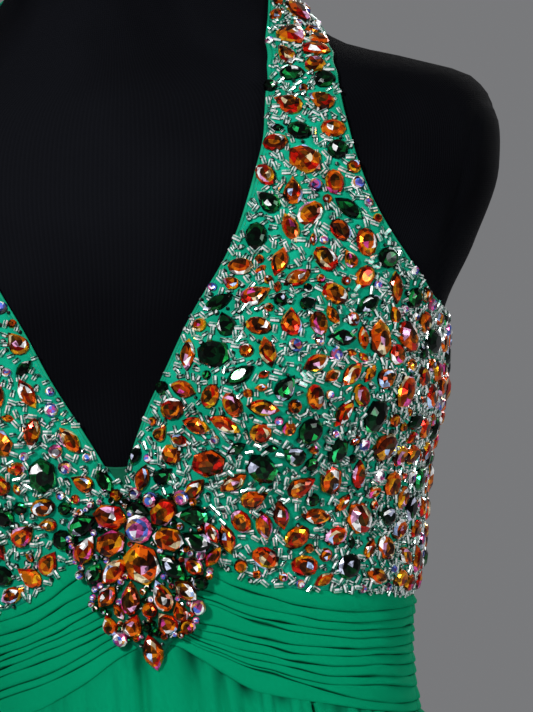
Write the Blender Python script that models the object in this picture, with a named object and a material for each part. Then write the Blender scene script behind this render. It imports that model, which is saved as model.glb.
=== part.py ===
"""Evening dress with a beaded halter bodice, on a limbless dress form with a stand.

Metres, +Z up, front towards -Y, wearer's left towards +X. The origin is on the
floor under the middle of the stand's base. Every cloth piece is a thin wall that
lies over the figure surface: a turn around the body (degrees, 0 at centre front,
90 at the wearer's left side) and a height give a point, and a lift moves it out.
"""
import math
import random

import bmesh
import bpy
from mathutils import Vector
from mathutils.geometry import delaunay_2d_cdt, intersect_point_line

# Heights of the figure and of the dress
HEM_Z = 0.014
TORSO_BOTTOM_Z = 0.80
SIDE_TOP_Z = 1.300
V_BOTTOM_Z = 1.2375
INSET_TIP_Z = 1.2250
NECK_TOP_Z = 1.550

# Cloth
SEAM_GAP = 0.0005
CLOTH_IN = 0.0010
CLOTH_OUT = 0.0025
PLEAT_RISE = 0.0016
SKIRT_THICK = 0.0016
INNER_STEP = 0.012
EDGE_STEP = 0.011

# Figure sections: height, half width, front depth, back depth, middle in y, squareness
FIGURE = (
    # z,    half_w, front, back,  mid_y, square
    (0.800, 0.1650, 0.105, 0.125, 0.000, 0.12),
    (0.900, 0.1720, 0.108, 0.130, 0.000, 0.12),
    (1.000, 0.1430, 0.099, 0.108, 0.000, 0.10),
    (1.050, 0.1240, 0.092, 0.092, 0.000, 0.09),
    (1.090, 0.1180, 0.089, 0.085, 0.000, 0.08),
    (1.120, 0.1170, 0.089, 0.083, 0.000, 0.08),
    (1.148, 0.1200, 0.090, 0.083, 0.000, 0.08),
    (1.170, 0.1270, 0.092, 0.085, 0.000, 0.09),
    (1.222, 0.1360, 0.095, 0.091, 0.000, 0.11),
    (1.253, 0.1465, 0.096, 0.096, 0.000, 0.12),
    (1.300, 0.1550, 0.094, 0.102, 0.000, 0.14),
    (1.335, 0.1740, 0.090, 0.105, 0.003, 0.16),
    (1.375, 0.1915, 0.085, 0.102, 0.006, 0.16),
    (1.395, 0.1935, 0.079, 0.098, 0.008, 0.15),
    (1.410, 0.1905, 0.075, 0.094, 0.010, 0.13),
    (1.424, 0.1810, 0.069, 0.088, 0.012, 0.10),
    (1.437, 0.1500, 0.064, 0.081, 0.015, 0.08),
    (1.450, 0.1140, 0.060, 0.075, 0.017, 0.05),
    (1.462, 0.0980, 0.058, 0.070, 0.018, 0.03),
    (1.480, 0.0830, 0.056, 0.064, 0.019, 0.00),
    (1.500, 0.0700, 0.054, 0.059, 0.020, 0.00),
    (1.522, 0.0610, 0.053, 0.055, 0.020, 0.00),
    (1.575, 0.0560, 0.052, 0.053, 0.018, 0.00),
)
BUST = {"x": 0.080, "z": 1.268, "rise": 0.034, "spread_x": 0.050, "spread_z": 0.048}

# Skirt sections below the midriff, and how deep its folds stand
SKIRT = (
    # z,    half_w, front, back,  mid_y, square, fold
    (0.014, 0.3750, 0.325, 0.345, 0.000, 0.00, 0.0300),
    (0.300, 0.3050, 0.255, 0.275, 0.000, 0.02, 0.0220),
    (0.600, 0.2420, 0.188, 0.208, 0.000, 0.06, 0.0140),
    (0.800, 0.2040, 0.143, 0.163, 0.000, 0.10, 0.0090),
    (0.900, 0.1860, 0.122, 0.144, 0.000, 0.12, 0.0060),
    (1.000, 0.1560, 0.110, 0.120, 0.000, 0.10, 0.0035),
    (1.060, 0.1300, 0.099, 0.098, 0.000, 0.09, 0.0018),
    (1.150, 0.1260, 0.095, 0.089, 0.000, 0.08, 0.0000),
)

# Cutting lines of the left half, front view: height, distance from the middle
NECKLINE = (
    # z,     x
    (1.2390, 0.0095),
    (1.2600, 0.0190),
    (1.2810, 0.0290),
    (1.3070, 0.0405),
    (1.3290, 0.0545),
    (1.3465, 0.0650),
    (1.3755, 0.0760),
    (1.4010, 0.0822),
    (1.4395, 0.0818),
)
ARMHOLE = (
    # z,     x
    (SIDE_TOP_Z, 0.1552),
    (1.3145, 0.1530),
    (1.3343, 0.1448),
    (1.3605, 0.1340),
    (1.3865, 0.1265),
    (1.4135, 0.1202),
    (1.4425, 0.1112),
)
# Lines around the body: turn from centre front, height
UNDERBUST = (
    # turn, z
    (0, 1.203),
    (9, 1.197),
    (15, 1.189),
    (20, 1.180),
    (28, 1.171),
    (37, 1.167),
    (54, 1.162),
    (90, 1.154),
    (180, 1.150),
)
SKIRT_SEAM = (
    # turn, z
    (0, 1.151),
    (5, 1.149),
    (13, 1.141),
    (22, 1.129),
    (30, 1.120),
    (43, 1.112),
    (61, 1.102),
    (90, 1.092),
    (180, 1.088),
)
BACK_TOP = (
    # turn, z
    (90, SIDE_TOP_Z),
    (120, 1.285),
    (150, 1.270),
    (180, 1.264),
)
# The strap's two edges above the cutting lines: over the shoulder, then to the nape
STRAP_SHOULDER = (
    # neck_turn, neck_z, arm_turn, arm_z
    (41.5, 1.4485, 65.0, 1.4480),
    (54.0, 1.4630, 77.5, 1.4545),
    (71.0, 1.4815, 86.0, 1.4615),
    (90.0, 1.4940, 92.0, 1.4690),
)
STRAP_NAPE = (
    # neck_turn, neck_z, arm_turn, arm_z
    (90.0, 1.4940, 92.0, 1.4690),
    (120.0, 1.5035, 120.0, 1.4800),
    (150.0, 1.5100, 150.0, 1.4870),
    (180.0, 1.5130, 180.0, 1.4890),
)

# Large stones that stand on the bodice; share is how often a kind is drawn
STONE_KINDS = (
    # name,    length, width,  height, share
    ("cosmic", 0.0180, 0.0130, 0.0042, 5),
    ("navette", 0.0155, 0.0078, 0.0034, 4),
    ("pear", 0.0145, 0.0100, 0.0038, 4),
    ("oval", 0.0135, 0.0102, 0.0036, 3),
    ("round", 0.0125, 0.0125, 0.0038, 2),
)
STONE_GAP = 0.0034
STONE_MARGIN = 0.0040
FRONT_STONES = 54
BACK_STONES = 28
# Even points of the plain cloth between the stones
LOOSE_STEP = 0.016
LOOSE_MARGIN = 0.006
LOOSE_CLEAR = 0.011

# Centre applique: how far it lies to the wearer's left, its left outline and its stones
APPLIQUE_SHIFT = 0.0055
APPLIQUE_EDGE = (
    # x,     z
    (0.0000, 1.2205),
    (0.0160, 1.2220),
    (0.0300, 1.2195),
    (0.0375, 1.2115),
    (0.0375, 1.1985),
    (0.0335, 1.1840),
    (0.0300, 1.1700),
    (0.0240, 1.1585),
    (0.0175, 1.1490),
    (0.0105, 1.1415),
    (0.0050, 1.1350),
    (0.0000, 1.1315),
)
APPLIQUE_STONES = (
    # x,     z,      length, width,  height, tilt
    (0.0000, 1.2060, 0.0115, 0.0115, 0.0045, 90),
    (0.0000, 1.1880, 0.0165, 0.0135, 0.0050, 90),
    (0.0000, 1.1425, 0.0150, 0.0085, 0.0040, 90),
    (0.0140, 1.2135, 0.0130, 0.0090, 0.0040, 20),
    (0.0285, 1.2110, 0.0130, 0.0080, 0.0038, 165),
    (0.0150, 1.2000, 0.0130, 0.0095, 0.0040, 150),
    (0.0285, 1.1985, 0.0120, 0.0078, 0.0036, 140),
    (0.0150, 1.1855, 0.0130, 0.0072, 0.0038, 130),
    (0.0255, 1.1850, 0.0095, 0.0065, 0.0034, 120),
    (0.0080, 1.1715, 0.0130, 0.0075, 0.0038, 110),
    (0.0200, 1.1730, 0.0100, 0.0065, 0.0034, 125),
    (0.0085, 1.1575, 0.0090, 0.0075, 0.0034, 110),
)

# The applique's inside rises from the plain bodice to the pleats over this stretch
APPLIQUE_STEP_Z = 1.212
APPLIQUE_STEP = 0.012
APPLIQUE_CLEAR = 0.0009
APPLIQUE_THICK = 0.0014
APPLIQUE_INNER_STEP = 0.010
APPLIQUE_MARGIN = 0.004
OVAL_LEAST_WIDTH = 0.0078

# Skirt folds from centre front around the wearer's left: share of the girth, depth
FOLDS = (
    # share, depth
    (1.00, 1.00),
    (0.85, 0.80),
    (1.15, 1.10),
    (0.95, 0.90),
    (1.10, 1.05),
    (0.80, 0.75),
    (1.20, 1.15),
    (1.00, 0.85),
    (0.90, 1.00),
    (1.05, 1.10),
    (0.95, 0.80),
    (1.10, 1.00),
    (0.85, 0.90),
    (1.15, 1.15),
    (1.00, 0.90),
    (0.90, 0.85),
    (1.10, 1.05),
    (0.95, 0.95),
)
# Shares of the skirt's length where it has a row of points, close at its seam
SKIRT_ROWS = (0.0, 0.035, 0.09, 0.17, 0.28, 0.45, 0.70, 1.0)
GATHER_LENGTH = 0.06
PLEATS = 12
PLEAT_CREST = 0.7

# Turns where the panels of a half are shaped, closer where the seams curve most
FRONT_TURNS = (0, 4, 8, 12, 16, 21, 27, 34, 43, 54, 66, 78, 90)
BACK_TURNS = (90, 100, 110, 120, 130, 140, 150, 160, 170, 180)

# Form: heights of its rings, closest at the shoulders
FORM_HEIGHTS = (
    TORSO_BOTTOM_Z, 0.806, 0.850, 0.900, 0.945, 0.990, 1.030, 1.070, 1.110, 1.140, 1.165,
    1.187, 1.208, 1.228, 1.248, 1.268, 1.288, 1.310, 1.332, 1.354, 1.376, 1.395, 1.410,
    1.424, 1.431, 1.438, 1.446, 1.455, 1.465, 1.478, 1.492, 1.508, 1.526, NECK_TOP_Z,
)
FORM_SINK = 0.0006
FORM_BEVEL = 0.0060
FORM_FRONT_SIDES = 24
FORM_BACK_SIDES = 14
TOUCH_GAP = 0.0003
CAP_PROFILE = (
    # share of the neck, height above it
    (0.97, TOUCH_GAP),
    (1.00, 0.0020),
    (1.00, 0.0060),
    (0.93, 0.0080),
)
CAP_SIDES = 24

# Stand
POLE_R = 0.016
BASE_R = 0.170
BASE_THICK = 0.012
COLLAR_R = 0.034
COLLAR_HEIGHT = 0.026
BASE_PROFILE = (
    # radius, height
    (BASE_R - 0.002, 0.0),
    (BASE_R, 0.002),
    (BASE_R, BASE_THICK - 0.003),
    (BASE_R - 0.004, BASE_THICK),
    (0.040, BASE_THICK + 0.002),
    (0.026, BASE_THICK + 0.010),
)
COLLAR_PROFILE = (
    # radius, height
    (COLLAR_R * 0.7, TORSO_BOTTOM_Z - COLLAR_HEIGHT),
    (COLLAR_R, TORSO_BOTTOM_Z - 0.018),
    (COLLAR_R, TORSO_BOTTOM_Z - TOUCH_GAP),
)

# Zip slider and its pull tab, on the centre back of the bodice
ZIP_Z = 1.2530
ZIP_PLATE = (0.0070, 0.0016, 0.0100)
ZIP_SEAT = 0.0004
ZIP_BRIDGE_W = 0.0016
ZIP_BRIDGE_H = 0.0066
ZIP_BRIDGE_STRIP = 0.0008
ZIP_BAR = 0.0009
ZIP_CLEAR = 0.00035
ZIP_MARGIN = 0.012
TAB_LENGTH = 0.0240
TAB_WIDTH = 0.0062
TAB_HOLE = (0.0026, 0.0046)
TAB_HALF_OUTLINE = (
    # x, z
    (-TAB_WIDTH * 0.42, ZIP_BAR / 2),
    (-TAB_WIDTH * 0.42, -0.006),
    (-TAB_WIDTH / 2, -0.010),
    (-TAB_WIDTH / 2, -TAB_LENGTH + 0.002),
    (-TAB_WIDTH * 0.3, -TAB_LENGTH),
)

# Mean girth radius for flat panels, least radii at the seams, and the wider gap at the zip
GIRTH_R = 0.140
SEAM_R = 0.083
NAPE_R = 0.055
ZIP_SHARE = 1.4


def smooth_row(table, at):
    """All columns of a table at one value of its first column, without overshoot."""
    count = len(table)
    at = min(max(at, table[0][0]), table[-1][0])
    low = 0
    while low < count - 2 and table[low + 1][0] < at:
        low += 1
    span = table[low + 1][0] - table[low][0]
    t = (at - table[low][0]) / span

    def slope(row, col):
        if row in (0, count - 1):
            a, b = max(row - 1, 0), min(row + 1, count - 1)
            return (table[b][col] - table[a][col]) / (table[b][0] - table[a][0])
        before = table[row][0] - table[row - 1][0]
        after = table[row + 1][0] - table[row][0]
        d0 = (table[row][col] - table[row - 1][col]) / before
        d1 = (table[row + 1][col] - table[row][col]) / after
        if d0 * d1 <= 0:
            return 0.0
        return 3 * (before + after) / ((2 * after + before) / d0 + (after + 2 * before) / d1)

    result = []
    for col in range(1, len(table[0])):
        v0, v1 = table[low][col], table[low + 1][col]
        m0, m1 = slope(low, col) * span, slope(low + 1, col) * span
        result.append(v0 * (1 + 2 * t) * (1 - t) ** 2 + m0 * t * (1 - t) ** 2
                      + v1 * t * t * (3 - 2 * t) + m1 * t * t * (t - 1))
    return result


def section_point(row, turn, z):
    """A point of one horizontal section, at a turn in degrees."""
    half_w, front, back, mid_y, square = row[:5]
    s, c = math.sin(math.radians(turn)), math.cos(math.radians(turn))
    x = half_w * s * (1 + square * c * c)
    y = mid_y - (front if c > 0 else back) * c * (1 + square * s * s)
    return Vector((x, y, z))


def figure_point(turn, z):
    """The figure's surface, with its two bust cups."""
    point = section_point(smooth_row(FIGURE, z), turn, z)
    facing = math.cos(math.radians(turn))
    if facing > 0:
        rise = 0.0
        for side in (-1, 1):
            across = (point.x - side * BUST["x"]) / BUST["spread_x"]
            up = (z - BUST["z"]) / BUST["spread_z"]
            rise += math.exp(-across * across - up * up)
        point.y -= BUST["rise"] * rise * min(1.0, 3 * facing)
    return point


def figure_frame(turn, z):
    """Point, unit normal and the two slopes per degree and per metre."""
    step_turn, step_z = 0.4, 0.0008
    by_turn = (figure_point(turn + step_turn, z) - figure_point(turn - step_turn, z)) / (2 * step_turn)
    by_z = (figure_point(turn, z + step_z) - figure_point(turn, z - step_z)) / (2 * step_z)
    return figure_point(turn, z), by_turn.cross(by_z).normalized(), by_turn, by_z


def over_figure(turn, z, lift):
    """A point lifted off the figure along its normal."""
    point, normal, _, _ = figure_frame(turn, z)
    return point + normal * lift


def turn_at(x, z):
    """The turn on the front where the figure has this distance from the middle."""
    low, high = -90.0, 90.0
    row = smooth_row(FIGURE, z)
    for _ in range(40):
        middle = (low + high) / 2
        if section_point(row, middle, z).x < x:
            low = middle
        else:
            high = middle
    return (low + high) / 2


def new_material(name, colour, roughness, metallic=0.0):
    """A plain Principled material."""
    material = bpy.data.materials.new(name)
    material.use_nodes = True
    shader = material.node_tree.nodes["Principled BSDF"]
    shader.inputs["Base Color"].default_value = (*colour, 1.0)
    shader.inputs["Roughness"].default_value = roughness
    shader.inputs["Metallic"].default_value = metallic
    return material


def add_object(name, points, faces, material, parent, origin=(0, 0, 0)):
    """One named object from points and faces, with its origin where it is wanted."""
    origin = Vector(origin)
    mesh = bpy.data.meshes.new(name)
    mesh.from_pydata([Vector(p) - origin for p in points], [], faces)
    mesh.materials.append(material)
    mesh.update()
    item = bpy.data.objects.new(name, mesh)
    item.location = origin
    item.parent = parent
    bpy.context.scene.collection.objects.link(item)
    return item


def resample(points, step):
    """The same line through points about one step apart, its ends kept."""
    out = [points[0]]
    for a, b in zip(points, points[1:]):
        length = math.hypot(math.radians(b[0] - a[0]) * GIRTH_R, b[1] - a[1])
        parts = max(1, round(length / step))
        out += [(a[0] + (b[0] - a[0]) * k / parts, a[1] + (b[1] - a[1]) * k / parts)
                for k in range(1, parts + 1)]
    return out


def line_along(table, turns, shift=0.0):
    """Points (turn, z) along a line around the body, shifted up or down."""
    return [(turn, smooth_row(table, turn)[0] + shift) for turn in turns]


def to_flat(turn, z):
    """Panel coordinates in millimetres."""
    return Vector((math.radians(turn) * GIRTH_R * 1000, z * 1000))


def edge_line(table):
    """Points (turn, z) along a cutting line of the front view, from its lowest row up."""
    low, high = table[0][0], table[-1][0]
    count = round((high - low) / (EDGE_STEP * 0.85))
    out = []
    for k in range(count + 1):
        z = low + (high - low) * k / count
        out.append((turn_at(smooth_row(table, z)[0], z), z))
    return out


def inside_flat(flat, x, y):
    """Whether a flat point lies within a closed flat line."""
    inside = False
    for (ax, ay), (bx, by) in zip(flat, flat[1:] + flat[:1]):
        if (ay > y) != (by > y) and x < (bx - ax) * (y - ay) / (by - ay) + ax:
            inside = not inside
    return inside


def inside_outline(outline, turn, z):
    """Whether a point lies within a panel's outline."""
    x, y = to_flat(turn, z)
    return inside_flat([tuple(to_flat(*p)) for p in outline], x, y)


def distance_to_loop(loop, point):
    """Shortest distance from a point to a closed line in space."""
    best = 1.0
    for a, b in zip(loop, loop[1:] + loop[:1]):
        near, share = intersect_point_line(point, a, b)
        near = a if share < 0 else b if share > 1 else near
        best = min(best, (point - near).length)
    return best


def grid_inside(outline, step, margin):
    """Even points within an outline, a margin away from it."""
    turns = [p[0] for p in outline]
    heights = [p[1] for p in outline]
    loop = [over_figure(t, z, 0) for t, z in outline]
    step_turn = math.degrees(step / GIRTH_R)
    found = []
    row = 0
    z = min(heights) + step / 2
    while z < max(heights):
        turn = min(turns) + step_turn * (0.5 if row % 2 else 1.0)
        while turn < max(turns):
            if inside_outline(outline, turn, z):
                if distance_to_loop(loop, over_figure(turn, z, 0)) > margin:
                    found.append((turn, z))
            turn += step_turn
        z += step * 0.87
        row += 1
    return found


def triangulate(outline, extra, edges=()):
    """Triangles over an outline and points inside it, as numbers into outline + extra."""
    flat = [to_flat(p[0], p[1]) for p in outline] + [to_flat(p[0], p[1]) for p in extra]
    boundary = list(range(len(outline)))
    rims = [(a + len(outline), b + len(outline)) for a, b in edges]
    result = delaunay_2d_cdt(flat, rims, [boundary], 1, 1e-6, True)
    origin = [ids[0] for ids in result[3]]
    panel = [tuple(p) for p in flat[:len(outline)]]
    faces = []
    for face in result[2]:
        corners = [origin[i] for i in face]
        middle_x = sum(flat[i].x for i in corners) / 3
        middle_y = sum(flat[i].y for i in corners) / 3
        if inside_flat(panel, middle_x, middle_y):
            faces.append(corners)
    return faces


def wall_object(name, outline, lift_in, lift_out, material, parent,
                raised=(), raised_edges=(), outer_grid=(), inner_step=INNER_STEP):
    """A cloth wall over the figure: points raised outside, plain inside, closed edge.

    raised holds (turn, z, extra lift); lift_in and lift_out are functions of (turn, z).
    """
    extra = list(raised) + [(t, z, 0.0) for t, z in outer_grid]
    inner = grid_inside(outline, inner_step, inner_step * 0.45)
    points = [over_figure(t, z, lift_out(t, z)) for t, z in outline]
    points += [over_figure(t, z, lift_out(t, z) + more) for t, z, more in extra]
    first_inner = len(points)
    points += [over_figure(t, z, lift_in(t, z)) for t, z in outline]
    points += [over_figure(t, z, lift_in(t, z)) for t, z in inner]
    faces = triangulate(outline, extra, raised_edges)
    faces += [[i + first_inner for i in reversed(face)] for face in triangulate(outline, inner)]
    count = len(outline)
    for k in range(count):
        n = (k + 1) % count
        faces.append([k, k + first_inner, n + first_inner])
        faces.append([k, n + first_inner, n])
    return add_object(name, points, faces, material, parent)


def grid_wall(name, rows, surface, material, parent):
    """A wall from a grid of (turn, z) rows; surface(row, col, side) gives its points."""
    high, wide = len(rows), len(rows[0])
    points = []
    for side in (0, 1):
        for r in range(high):
            points += [surface(r, c, side) for c in range(wide)]
    inner = high * wide
    faces = []
    for r in range(high - 1):
        for c in range(wide - 1):
            a, b = r * wide + c, r * wide + c + 1
            d, e = a + wide, b + wide
            faces += [[a, b, e], [a, e, d], [a + inner, e + inner, b + inner],
                      [a + inner, d + inner, e + inner]]
    rim = [c for c in range(wide)] + [r * wide + wide - 1 for r in range(1, high)]
    rim += [(high - 1) * wide + c for c in range(wide - 2, -1, -1)]
    rim += [r * wide for r in range(high - 2, 0, -1)]
    for a, b in zip(rim, rim[1:] + rim[:1]):
        faces += [[a, a + inner, b + inner], [a, b + inner, b]]
    return add_object(name, points, faces, material, parent)


def stone_rim(kind, length, width):
    """The rim of a stone, long side along x, and its raised points."""
    half_l, half_w = length / 2, width / 2
    if kind == "cosmic":
        rim = [(half_l, 0.15 * half_w), (0.45 * half_l, half_w), (-0.55 * half_l, 0.85 * half_w),
               (-half_l, -0.1 * half_w), (-0.4 * half_l, -half_w), (0.6 * half_l, -0.8 * half_w)]
    elif kind == "navette":
        rim = [(half_l, 0), (0.3 * half_l, half_w), (-0.3 * half_l, half_w),
               (-half_l, 0), (-0.3 * half_l, -half_w), (0.3 * half_l, -half_w)]
    elif kind == "pear":
        rim = [(half_l, 0), (-0.1 * half_l, half_w), (-0.8 * half_l, 0.6 * half_w),
               (-0.8 * half_l, -0.6 * half_w), (-0.1 * half_l, -half_w)]
    else:
        rim = [(half_l * math.cos(a), half_w * math.sin(a))
               for a in (math.radians(60 * k) for k in range(6))]
    top = [(0.3 * half_l, 0), (-0.3 * half_l, 0)]
    if kind == "round":
        top = [(0, 0)]
    return rim, top


def place_points(turn, z, tilt, flat_points):
    """Stone points moved onto the figure: their (turn, z) around a centre."""
    _, normal, by_turn, by_z = figure_frame(turn, z)
    along_turn = by_turn.normalized()
    along_up = normal.cross(along_turn)
    c, s = math.cos(math.radians(tilt)), math.sin(math.radians(tilt))
    placed = []
    for x, y in flat_points:
        offset = along_turn * (x * c - y * s) + along_up * (x * s + y * c)
        up = offset.dot(along_up) / by_z.dot(along_up)
        across = (offset.dot(along_turn) - up * by_z.dot(along_turn)) / by_turn.length
        placed.append((turn + across, z + up))
    return placed


def stone_spine(turn, z, tilt, length, width):
    """Two points in space between whose ends the stone's round body lies."""
    reach = max(0.0, (length - width) / 2)
    return [over_figure(t, h, CLOTH_OUT)
            for t, h in place_points(turn, z, tilt, [(-reach, 0), (0, 0), (reach, 0)])]


def pack_stones(outline, seed, wanted, keep_clear):
    """Large stones scattered over a panel, none touching, from a fixed seed."""
    rng = random.Random(seed)
    loop = [over_figure(t, z, CLOTH_OUT) for t, z in outline]
    turns = [p[0] for p in outline]
    heights = [p[1] for p in outline]
    kinds = [kind for kind in STONE_KINDS for _ in range(kind[4])]
    stones = []
    tries = 0
    while len(stones) < wanted and tries < 6000:
        tries += 1
        name, length, width, height, _ = rng.choice(kinds)
        turn = rng.uniform(min(turns), max(turns))
        z = rng.uniform(min(heights), max(heights))
        tilt = rng.uniform(0, 180)
        if not inside_outline(outline, turn, z) or keep_clear(turn, z):
            continue
        spine = stone_spine(turn, z, tilt, length, width)
        if min(distance_to_loop(loop, p) for p in spine) < width / 2 + STONE_MARGIN:
            continue
        if all((p - q).length > (width + other["width"]) / 2 + STONE_GAP
               for other in stones for p in spine for q in other["spine"]):
            stones.append({"kind": name, "turn": turn, "z": z, "tilt": tilt, "length": length,
                           "width": width, "height": height, "spine": spine})
    return stones


def raise_stones(stones):
    """The raised points of all stones and the edges of their rims."""
    points, edges = [], []
    for stone in stones:
        rim, top = stone_rim(stone["kind"], stone["length"], stone["width"])
        start = len(points)
        for t, z in place_points(stone["turn"], stone["z"], stone["tilt"], rim):
            points.append((t, z, 0.0))
        for t, z in place_points(stone["turn"], stone["z"], stone["tilt"], top):
            points.append((t, z, stone["height"]))
        edges += [(start + k, start + (k + 1) % len(rim)) for k in range(len(rim))]
        if len(top) == 2:
            edges.append((start + len(rim), start + len(rim) + 1))
    return points, edges


def mirrored(outline):
    """The outline on the wearer's right, still anticlockwise from outside."""
    return [(-t, z) for t, z in reversed(outline)]


def panel_turns(turns):
    """The turns of a panel, drawn in at its two seams, more at the zip."""
    half_gap = math.degrees(SEAM_GAP / 2 / SEAM_R)
    last_gap = half_gap * (ZIP_SHARE if turns[-1] == 180 else 1)
    return [turns[0] + half_gap, *turns[1:-1], turns[-1] - last_gap]


def strap_edges(neck_end, arm_end):
    """Pairs of points on the strap's neck and arm edges, from the bodice to the shoulder top."""
    first = (neck_end[0], neck_end[1], arm_end[0], arm_end[1])
    table = [(k, *row) for k, row in enumerate((first, *STRAP_SHOULDER))]
    steps = 2 * (len(table) - 1)
    pairs = []
    for k in range(steps + 1):
        neck_t, neck_z, arm_t, arm_z = smooth_row(table, k / 2)
        pairs.append(((neck_t, neck_z), (arm_t, arm_z)))
    return pairs


def front_outline():
    """Bodice front with its strap, from centre front around its edge."""
    turns = panel_turns(FRONT_TURNS)
    gap, side = turns[0], turns[-1]
    lower = line_along(UNDERBUST, turns, SEAM_GAP / 2)
    side_seam = resample([lower[-1], (side, SIDE_TOP_Z)], EDGE_STEP)[1:]
    armhole = edge_line(ARMHOLE)
    armhole[0] = (side, SIDE_TOP_Z)
    neck = list(reversed(edge_line(NECKLINE)))
    middle = [neck[-1], (gap, INSET_TIP_Z), lower[0]]
    strap = strap_edges(neck[0], armhole[-1])
    outline = lower + side_seam + resample(armhole, EDGE_STEP)[1:]
    outline += [arm for _, arm in strap[1:]]
    outline += resample([strap[-1][1], strap[-1][0]], EDGE_STEP)[1:-1]
    outline += [inner for inner, _ in reversed(strap[1:])]
    outline += neck
    outline += resample(middle, EDGE_STEP)[1:-1]
    return outline


def back_outline():
    """Beaded back band from the side seam to the zip at centre back."""
    turns = panel_turns(BACK_TURNS)
    lower = line_along(UNDERBUST, turns, SEAM_GAP / 2)
    upper = line_along(BACK_TOP, reversed(turns))
    zip_edge = resample([lower[-1], upper[0]], EDGE_STEP)[1:-1]
    side_seam = resample([upper[-1], lower[0]], EDGE_STEP)[1:-1]
    return lower + zip_edge + upper + side_seam


def near_applique(turn, z):
    """The area around the centre applique, kept free of stones."""
    reach = STONE_KINDS[0][1] / 2 + APPLIQUE_MARGIN
    widest = max(x for x, _ in APPLIQUE_EDGE)
    highest = max(z for _, z in APPLIQUE_EDGE)
    point = figure_point(turn, z)
    at_front = math.cos(math.radians(turn)) > 0
    return at_front and z < highest + reach and abs(point.x - APPLIQUE_SHIFT) < widest + reach


def near_zip(turn, z):
    """The strip beside the zip, kept free of stones."""
    return abs(figure_point(turn, z).x) < ZIP_MARGIN and math.cos(math.radians(turn)) < 0


def constant(lift):
    """A lift that is the same all over a piece."""
    return lambda turn, z: lift


def build_bodice(materials, parent):
    """Two fronts with straps, two back pieces and the small inset in the V."""
    for side in ("left", "right"):
        for place, outline, wanted, seed, clear in (
                ("front", front_outline(), FRONT_STONES, 11, near_applique),
                ("back", back_outline(), BACK_STONES, 23, near_zip)):
            if side == "right":
                outline = mirrored(outline)
                seed += 5
            stones = pack_stones(outline, seed, wanted, clear)
            points, edges = raise_stones(stones)
            spines = [p for stone in stones for p in stone["spine"]]
            loose = [(t, z) for t, z in grid_inside(outline, LOOSE_STEP, LOOSE_MARGIN)
                     if all((over_figure(t, z, CLOTH_OUT) - p).length > LOOSE_CLEAR for p in spines)]
            wall_object(f"bodice_{place}_{side}", outline, constant(CLOTH_IN), constant(CLOTH_OUT),
                        materials["beaded"], parent, points, edges, loose)
            print(f"bodice_{place}_{side}", len(stones), "large stones")
    reach = turn_at(NECKLINE[0][1] - 2 * SEAM_GAP, NECKLINE[0][0])
    inset = [(0.0, INSET_TIP_Z + 3 * SEAM_GAP), (reach, NECKLINE[0][0]), (0.0, V_BOTTOM_Z),
             (-reach, NECKLINE[0][0])]
    wall_object("centre_inset", inset, constant(CLOTH_IN), constant(CLOTH_OUT),
                materials["satin"], parent)


def build_straps(materials, parent):
    """The neck strap of each side, from the shoulder top to the seam at the nape."""
    steps, across = 10, 2
    start_gap = math.degrees(SEAM_GAP / NAPE_R)
    nape = 180 - math.degrees(SEAM_GAP / 2 / NAPE_R)
    for side, sign in (("left", 1), ("right", -1)):
        rows = []
        table = [(k, *row) for k, row in enumerate(STRAP_NAPE)]
        for r in range(steps + 1):
            at = (len(table) - 1) * r / steps
            neck_t, neck_z, arm_t, arm_z = smooth_row(table, at)
            if r == 0:
                neck_t, arm_t = neck_t + start_gap, arm_t + start_gap
            if r == steps:
                neck_t, arm_t = nape, nape
            rows.append([(sign * (arm_t + (neck_t - arm_t) * c / across),
                          arm_z + (neck_z - arm_z) * c / across) for c in range(across + 1)])
        if sign < 0:
            rows = [list(reversed(row)) for row in rows]

        def surface(r, c, face, rows=rows):
            turn, z = rows[r][c]
            return over_figure(turn, z, CLOTH_OUT if face == 0 else CLOTH_IN)

        item = grid_wall(f"neck_strap_{side}", rows, surface, materials["satin"], parent)
        turn_outwards(item)


def turn_outwards(item):
    """Faces of a closed piece made to point out."""
    shape = bmesh.new()
    shape.from_mesh(item.data)
    bmesh.ops.recalc_face_normals(shape, faces=shape.faces)
    shape.to_mesh(item.data)
    shape.free()


def build_midriff(materials, parent):
    """Four pleated chiffon pieces under the bust seam, pleats along the band."""
    pieces = (("midriff_front_left", FRONT_TURNS, 1), ("midriff_back_left", BACK_TURNS, 1),
              ("midriff_front_right", FRONT_TURNS, -1), ("midriff_back_right", BACK_TURNS, -1))
    for name, marks, sign in pieces:
        outline_rows = []
        for r in range(2 * PLEATS + 1):
            pleat, half = divmod(r, 2)
            share = (pleat + (PLEAT_CREST if half else 0.0)) / PLEATS
            row = []
            for turn in panel_turns(marks):
                top = smooth_row(UNDERBUST, turn)[0] - SEAM_GAP / 2
                low = smooth_row(SKIRT_SEAM, turn)[0] + SEAM_GAP / 2
                row.append((turn, low + (top - low) * share, PLEAT_RISE if half else 0.0))
            outline_rows.append(row)
        build_pleated(name, outline_rows, sign, materials["chiffon"], parent)


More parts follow.
